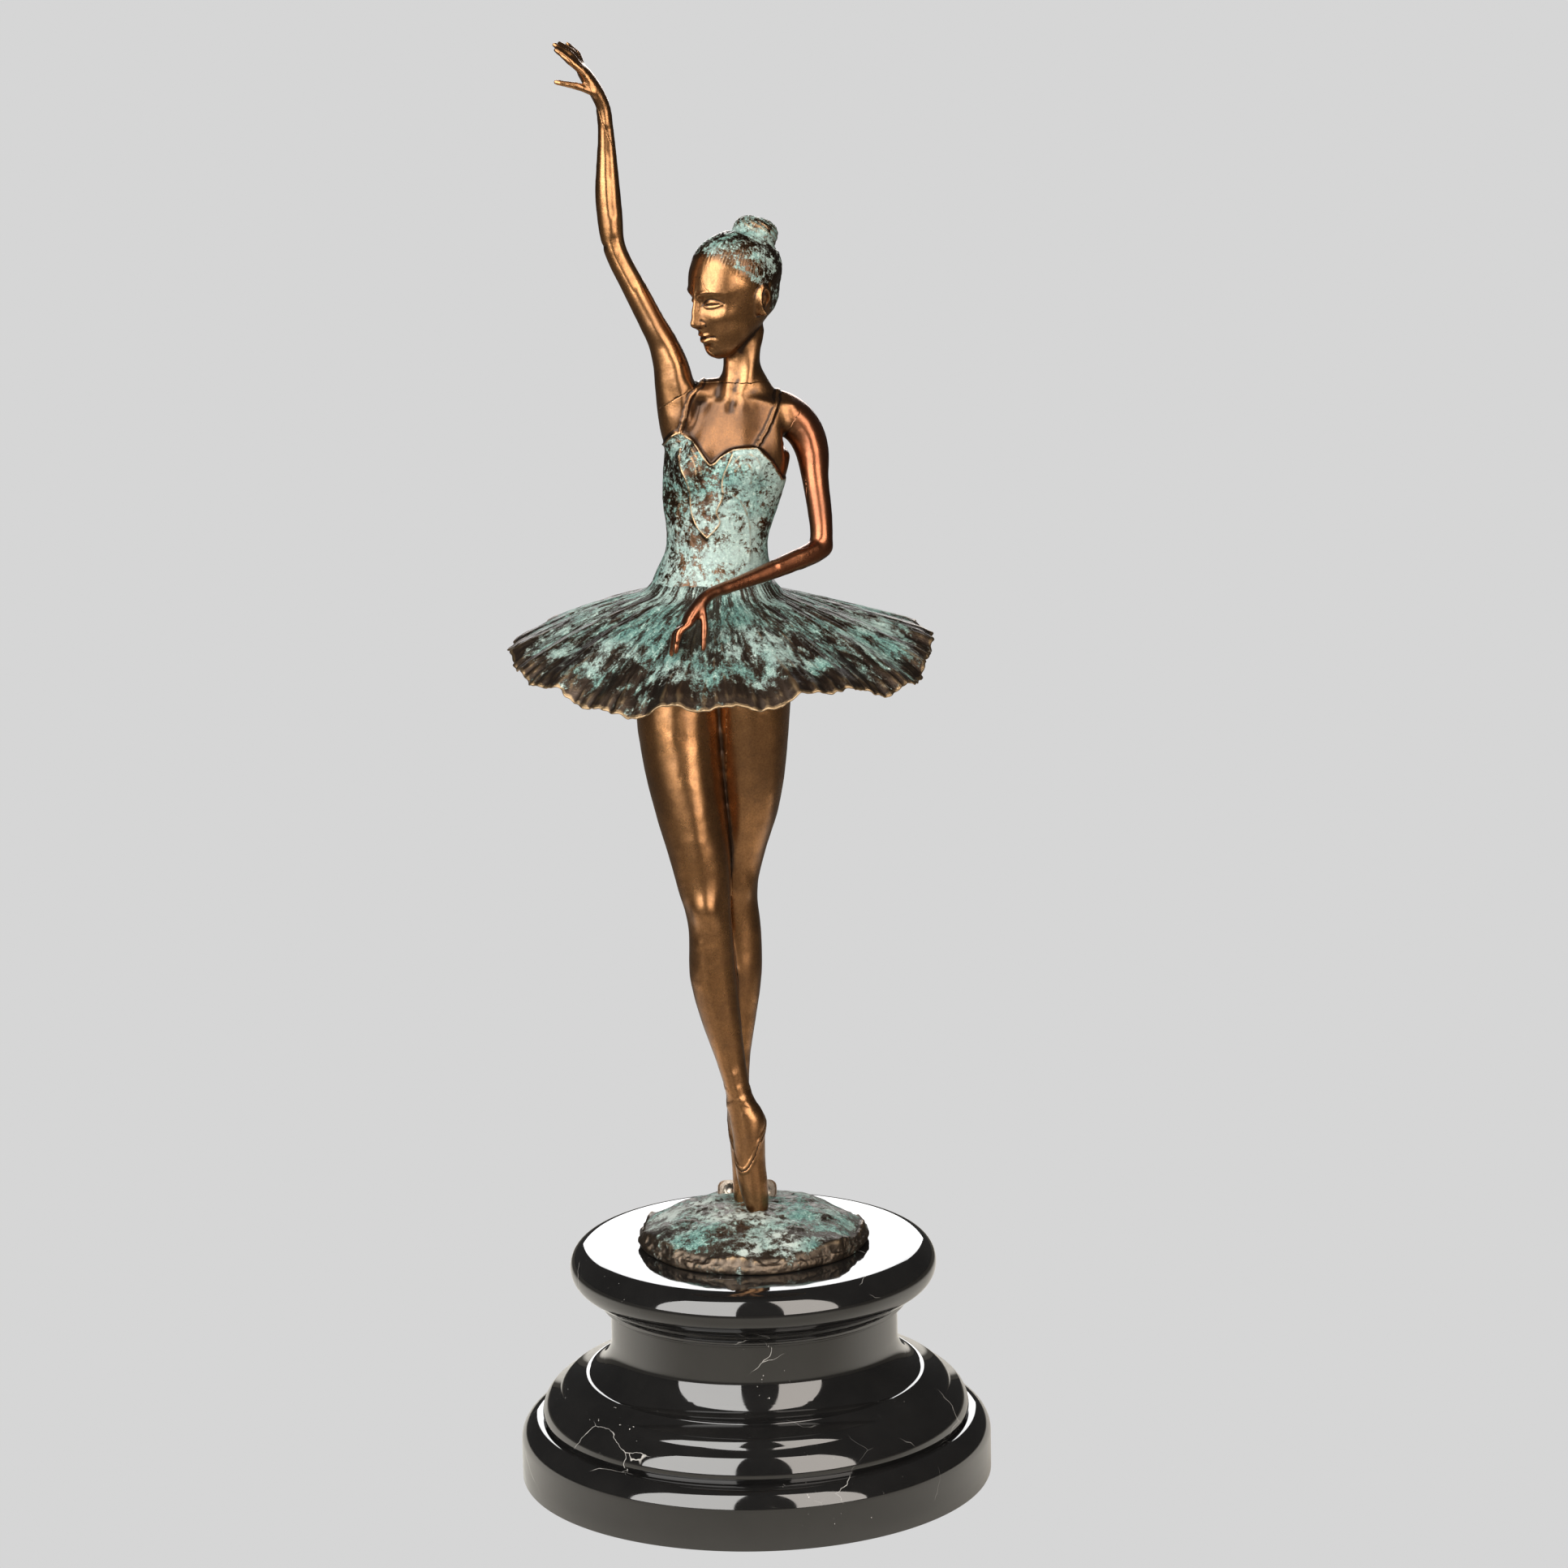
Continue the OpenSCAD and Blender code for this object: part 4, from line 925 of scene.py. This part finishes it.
# Which casting each place belongs to
trees = {nodeName: nodeTree(nodeName) for nodeName in figureSettings["parts"]}


def nodeGap(points, nodeName):
    return np.array([trees[nodeName].find_nearest(Vector(p) * millimetre)[3] for p in points]) / millimetre


torsoLow, torsoHigh = (np.array(corner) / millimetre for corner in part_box("torso_casting"))
raisedScore = np.where(inRaisedArm(co), 1.0, -1.0)
loweredScore = np.where((co[:, 2] < 290) & (co[:, 2] > 226)
                        & ((co[:, 0] > torsoHigh[0] + 0.1) | (co[:, 1] < torsoLow[1] - 0.9)), 1.0, -1.0)
for score, nodeName, key in ((raisedScore, "raised_arm_casting", "raisedPlace"),
                             (loweredScore, "lowered_arm_casting", "loweredPlace")):
    near = np.flatnonzero(np.linalg.norm(co - np.array(figureSettings[key]), axis=1) < 17)
    score[near] = np.clip(nodeGap(co[near], "torso_casting") - nodeGap(co[near], nodeName), -1, 1)
raisedScore = smoothed(raisedScore, joined, 10)
loweredScore = smoothed(loweredScore, joined, 10)
neckPlace = np.array(figureSettings["neckPlace"])
headScore = np.where(raisedScore > 0, -1.0, co[:, 2] - neckPlace[2])
headScore[np.linalg.norm(co[:, :2] - neckPlace[:2], axis=1) > 16] = -1
owner = np.zeros(len(co), int)
owner[headScore > 0] = 1
owner[raisedScore > 0] = 2
owner[loweredScore > 0] = 3
below = co[:, 2] < figureSettings["hipZ"]
owner[below] = 4
legDivide = np.interp(co[:, 2], [75, 110, 150, 177, 200, 224], [1.8, 1.7, 1.7, 0.9, 0.6, 0.6])
sideways = np.interp(co[:, 2], [75, 150, 165, 177, 188, 224], [-0.4, -5.2, -5.6, -5.7, -5.7, -6.4])
behind = (co[:, 1] - legDivide) * np.interp(co[:, 2], [75, 165, 195], [1, 0.8, 0.25])
behind = behind + (co[:, 0] - sideways) * np.interp(co[:, 2], [75, 150, 175, 195], [0.15, 0.35, 0.8, 1])
owner[below & (behind > 0)] = 5

pieceNames = [("TorsoCasting", "bodice_bronze", "ClothBronze"), ("HeadCasting", "head_bronze", "ClothBronze"),
              ("RaisedArmCasting", "arm_bronze", "FigureBronze"),
              ("LoweredArmCasting", "copper_bronze", "FigureBronze"),
              ("FrontLegCasting", "leg_bronze", "FigureBronze"),
               ("RearLegCasting", "leg_bronze", "FigureBronze")]
corners = listed(figure.loops, "vertex_index", 1, np.int32)
starts = listed(figure.polygons, "loop_start", 1, np.int32)
faceOwner = np.minimum.reduceat(owner[corners], starts)
for index, (pieceName, slotName, materialName) in enumerate(pieceNames):
    bm = opened(figure)
    away = [face for face, own in zip(bm.faces, faceOwner) if own != index]
    bmesh.ops.delete(bm, geom=away, context="FACES")
    rims = [e for e in bm.edges if len(e.link_faces) == 1]
    for f in bmesh.ops.holes_fill(bm, edges=rims, sides=0)["faces"]:
        f.smooth = False
    bmesh.ops.triangulate(bm, faces=[f for f in bm.faces if len(f.verts) > 4])
    finished(placed(pieceName, newMesh(bm, pieceName)), bronzes[materialName],
             figureSettings["parts"][index])


# ---- tutu: thin crumpled cone of cloth with a frilled hem ----

tutuSettings = {
    "sides": 760, "rows": 46,
    "cadCollar": (-7.4, 0.6, 16.95, 12.55), "collar": (-7.1, 0.4, 15.7, 11.4), "yaw": 14,
    "middle": (-5.6, 1), "radius": 56.6, "thick": 1.0, "hemThick": 0.55, "edgeOut": 1.004,
    "frills": [(31, 0.34, 0.4), (47, 0.24, 2.1), (68, 0.18, 1.2), (97, 0.12, 4.0), (133, 0.09, 5.1)],
    "ridges": [(83, 0.09, 0.3), (127, 0.07, 1.7), (190, 0.04, 3.3)],
}
tutuTree = nodeTree("tutu_casting")
sides, rows = tutuSettings["sides"], tutuSettings["rows"]
angle = np.arange(sides) * 2 * np.pi / sides
share = np.linspace(0, 1, rows) ** 0.85
yawed = angle + math.radians(tutuSettings["yaw"])


def waistRing(middleX, middleY, halfWidth, halfDepth):
    reach = halfWidth * halfDepth / np.hypot(halfDepth * np.cos(yawed), halfWidth * np.sin(yawed))
    return np.stack([middleX + reach * np.cos(angle), middleY + reach * np.sin(angle)], 1)


inner = waistRing(*tutuSettings["collar"])
cadInner = waistRing(*tutuSettings["cadCollar"])
hemR = tutuSettings["radius"] * (1 + 0.012 * np.sin(9 * angle))
tutuMiddle = np.array(tutuSettings["middle"])
outer = tutuMiddle + np.stack([hemR * np.cos(angle), hemR * np.sin(angle)], 1)
cadFlat = cadInner[:, None] + (outer - cadInner)[:, None] * share[None, :, None]


def tutuHeight(x, y):
    hit = tutuTree.ray_cast(Vector((x, y, 300)) * millimetre, Vector((0, 0, -1)))[0]
    return hit.z / millimetre if hit is not None else np.nan


top = np.array([[tutuHeight(*cadFlat[i, j]) for j in range(rows)] for i in range(sides)])
for j in range(rows):
    column = top[:, j]
    lost = np.isnan(column)
    if lost.any():
        column[lost] = np.interp(np.flatnonzero(lost), np.flatnonzero(~lost), column[~lost], period=sides) \
            if (~lost).any() else top[:, j - 1]
for _ in range(8):
    top = 0.5 * top + 0.25 * (np.roll(top, 1, 0) + np.roll(top, -1, 0))
a, s = angle[:, None], share[None, :]
drift = 0.5 * np.sin(3 * a + 1.0) + 0.35 * np.sin(5 * a)
for count, amount, phase in tutuSettings["frills"]:
    swing = 0.55 + 0.45 * np.sin(7 * a + phase * 2)
    top = top + amount * swing * np.sin(count * a + phase + 2 * drift) * s ** 5
for count, amount, phase in tutuSettings["ridges"]:
    swing = 0.5 + 0.5 * np.sin(11 * a + phase * 3 + 2 * s)
    top = top + amount * swing * np.sin(count * a + phase + 3 * drift + 0.8 * s) * np.minimum(s * 2.5, 1)
top = top - 0.5 * step(0.93, 1.0, s) + 3.4 * np.exp(-(s / 0.045) ** 1.6)
radial = 17 + 40 * s
crumplePlace = np.stack([np.cos(a) * 46 + 0 * s, np.sin(a) * 46 + 0 * s, radial * 0.24 + 0 * a], 2)
crumplePlace = crumplePlace.reshape(-1, 3)
crumple = texture(crumplePlace, 3.4, 4, 2.0).reshape(sides, rows)
rough = texture(crumplePlace, 1.3, 2, 5.0).reshape(sides, rows)
envelope = np.minimum(s * 4, 1)
top = top + envelope * (0.34 * (crumple - np.abs(crumple) * 0.5) + 0.12 * rough)
wobble = 0.5 * np.sin(61 * a + 3 * drift) + 0.4 * np.sin(103 * a + 1) + 0.5 * crumple
reach = 1 + (0.012 * wobble) * s ** 6
flat = inner[:, None] + (outer - inner)[:, None] * (share[None, :] * reach)[:, :, None]
thick = tutuSettings["thick"] + (tutuSettings["hemThick"] - tutuSettings["thick"]) * s + 0 * a
upper = np.concatenate([flat, top[:, :, None]], 2)
lower = np.concatenate([flat, (top - thick)[:, :, None]], 2)
rim = (upper[:, -1] + lower[:, -1]) / 2
rim[:, :2] = tutuMiddle + (rim[:, :2] - tutuMiddle) * tutuSettings["edgeOut"]
ring = np.concatenate([upper, rim[:, None], lower[:, ::-1]], 1)
across = ring.shape[1]
index = np.arange(sides * across).reshape(sides, across)
nextSide = np.roll(index, -1, 0)
quads = np.stack([index, nextSide, np.roll(nextSide, -1, 1), np.roll(index, -1, 1)], 2)
tutuMesh = bpy.data.meshes.new("TutuCasting")
tutuMesh.from_pydata((ring.reshape(-1, 3) * millimetre).tolist(), [], quads.reshape(-1, 4).tolist())
bm = opened(tutuMesh)
bmesh.ops.recalc_face_normals(bm, faces=bm.faces)
closed(bm, tutuMesh)
tutuCo = coordinates(tutuMesh)
tutuSoft = smoothed(tutuCo, links(tutuMesh), 6)
# Ridges and the hem rubbed bright; folds dark, partly patina and partly painted shade
tutuWearAndShade = curvature(tutuCo, tutuSoft, vertexNormals(tutuMesh), 0.16) * 0.75
shareOf = np.tile(np.concatenate([share, [1], share[::-1]]), sides)
isUpper = np.tile(np.concatenate([np.ones(rows + 1), np.zeros(rows)]), sides)
tutuWearAndShade *= step(0.0, 0.08, shareOf)
tutuWearAndShade += 0.55 * step(0.985, 1.0, shareOf) * isUpper
tutuGreen = (0.53 - 0.17 * step(0.78, 0.97, shareOf)) * (0.25 + 0.75 * isUpper)
setAttribute(tutuMesh, "wearAndShade", tutuWearAndShade)
setAttribute(tutuMesh, "green", tutuGreen)
# The patina's streaks follow the folds: round the ring in x and y, outward in z
fromMiddle = tutuCo[:, :2] - tutuMiddle
ringAngle = np.arctan2(fromMiddle[:, 1], fromMiddle[:, 0])
ringRadius = np.hypot(fromMiddle[:, 1], fromMiddle[:, 0])
streakPlace = np.stack([46 * np.cos(ringAngle), 46 * np.sin(ringAngle), ringRadius * 0.6], 1) * millimetre
streakLayer = tutuMesh.attributes.new("streakPlace", "FLOAT_VECTOR", "POINT")
streakLayer.data.foreach_set("vector", streakPlace.astype(np.float32).ravel())
finished(placed("TutuCasting", tutuMesh), bronzes["TutuPatina"], "tutu_casting")


# ---- rocky mound and the small plate behind the feet ----

moundSettings = {"voxel": 0.38, "rough": 0.855, "chip": 0.3, "lift": 2.2}
mound = remeshed(["mound_casting"], moundSettings["voxel"], 0)
moundJoined = links(mound)
moundCo = smoothed(coordinates(mound), moundJoined, 3)
setCoordinates(mound, moundCo)
moundNormals = vertexNormals(mound)
moundReach = np.hypot(moundCo[:, 0], moundCo[:, 1])
outerSkin = np.maximum(step(73, 74.6, moundCo[:, 2]), step(29.6, 30.4, moundReach))
outerSkin = outerSkin * step(67.1, 68.4, moundCo[:, 2])
for toe in ((1.7, -2.8), (-2.6, 6.2)):
    outerSkin = outerSkin * step(1.3, 2.8, np.hypot(moundCo[:, 0] - toe[0], moundCo[:, 1] - toe[1]))
lumps = texture(moundCo * np.array([0.7, 1.1, 1]), 8.0, 3, 3.0)
chips = 1 - np.abs(texture(moundCo * np.array([1, 1, 0.6]), 3.2, 4, 9.0)) * 2
grit = texture(moundCo, 0.9, 2, 6.0)
edgeFall = step(14, 33, moundReach) * step(69, 73, moundCo[:, 2])
moundRise = moundSettings["rough"] * lumps + moundSettings["chip"] * (chips - 0.6) + 0.1 * grit
moundCo = moved(moundCo, moundNormals, np.clip(moundRise, -0.9, 0.75) * outerSkin)
moundCo[:, 2] += moundSettings["lift"] * (step(70.5, 73.5, moundCo[:, 2]) - edgeFall)
moundCo = smoothed(moundCo, moundJoined, 2, 0.7)
setCoordinates(mound, moundCo)
moundSoft = smoothed(moundCo, moundJoined, 8)
# High places rubbed bright; hollows dark, partly patina and partly painted shade
setAttribute(mound, "wearAndShade", curvature(moundCo, moundSoft, vertexNormals(mound), 0.2) * 0.5)
edgeBare = step(28, 30.5, np.hypot(moundCo[:, 0], moundCo[:, 1]))
setAttribute(mound, "green", 0.56 - 0.22 * edgeBare)
finished(placed("MoundCasting", mound), bronzes["RockPatina"], "mound_casting")

# A plain rounded plate with a sunken face; bosses: x, y, radius, height; bars: x, y, length
plateSettings = {"middle": (-1.4, 12.4, 77.6), "size": (16.4, 6.2, 0.8), "tilt": 50, "rim": 0.5, "sunk": 0.25,
                 "corner": (2.2, 6), "edge": (0.12, 2), "dots": 9, "dotRing": 1.9, "dotMiddle": -4.6,
                 "bosses": [(-4.6, 0, 2.3, 0.5), (-4.6, 0, 1.5, 0.9), (4.9, -0.3, 1.8, 0.5),
                            (4.9, -0.3, 1.0, 0.8)],
                 "bars": [(0.2, 1.1, 3.6), (0.2, 0, 4.4), (0.2, -1.1, 3.6)]}


def bevelled(bm, edges, offset, segments):
    bmesh.ops.bevel(bm, geom=edges, offset=offset, affect="EDGES", segments=segments, profile=0.5,
                    material=-1, clamp_overlap=True)


bm = bmesh.new()
slab = bmesh.ops.create_cube(bm, size=1)["verts"]
bmesh.ops.scale(bm, vec=plateSettings["size"], verts=slab)
uprights = [edge for edge in bm.edges if abs(edge.verts[0].co.z - edge.verts[1].co.z) > 0.5]
bevelled(bm, uprights, *plateSettings["corner"])
topFace = max(bm.faces, key=lambda f: f.calc_center_median().z)
bmesh.ops.inset_region(bm, faces=[topFace], thickness=plateSettings["rim"])
bmesh.ops.translate(bm, vec=(0, 0, -plateSettings["sunk"]), verts=topFace.verts)
for edge in bm.edges:
    edge.smooth = True
bevelled(bm, list(bm.edges), *plateSettings["edge"])
lift = plateSettings["size"][2] / 2 - plateSettings["sunk"]
for x, y, radius, height in plateSettings["bosses"]:
    boss = bmesh.ops.create_cone(bm, cap_ends=True, segments=48, radius1=radius, radius2=radius * 0.84,
                                 depth=height)["verts"]
    bmesh.ops.translate(bm, vec=(x, y, lift + height / 2 - 0.1), verts=boss)
for x, y, length in plateSettings["bars"]:
    bar = bmesh.ops.create_uvsphere(bm, u_segments=20, v_segments=12, radius=0.5)["verts"]
    bmesh.ops.scale(bm, vec=(length, 0.75, 0.8), verts=bar)
    bmesh.ops.translate(bm, vec=(x, y, lift), verts=bar)
for i in range(plateSettings["dots"]):
    turn = math.tau * i / plateSettings["dots"]
    dot = bmesh.ops.create_icosphere(bm, subdivisions=2, radius=0.24)["verts"]
    bmesh.ops.translate(bm, vec=(plateSettings["dotMiddle"] + plateSettings["dotRing"] * math.cos(turn),
                                 plateSettings["dotRing"] * math.sin(turn), lift + 0.42), verts=dot)
tilt = Matrix.Rotation(math.radians(plateSettings["tilt"]), 3, "X")
bmesh.ops.rotate(bm, cent=(0, 0, 0), matrix=tilt, verts=bm.verts)
bmesh.ops.translate(bm, vec=plateSettings["middle"], verts=bm.verts)
bmesh.ops.scale(bm, vec=(millimetre,) * 3, verts=bm.verts)
bmesh.ops.recalc_face_normals(bm, faces=bm.faces)
plateMesh = newMesh(bm, "FoundryPlate")
for attributeName in ("wearAndShade", "green"):
    setAttribute(plateMesh, attributeName, np.full(len(plateMesh.vertices), 0.1))
finished(placed("FoundryPlate", plateMesh), bronzes["PlateBronze"], "foundry_plate")
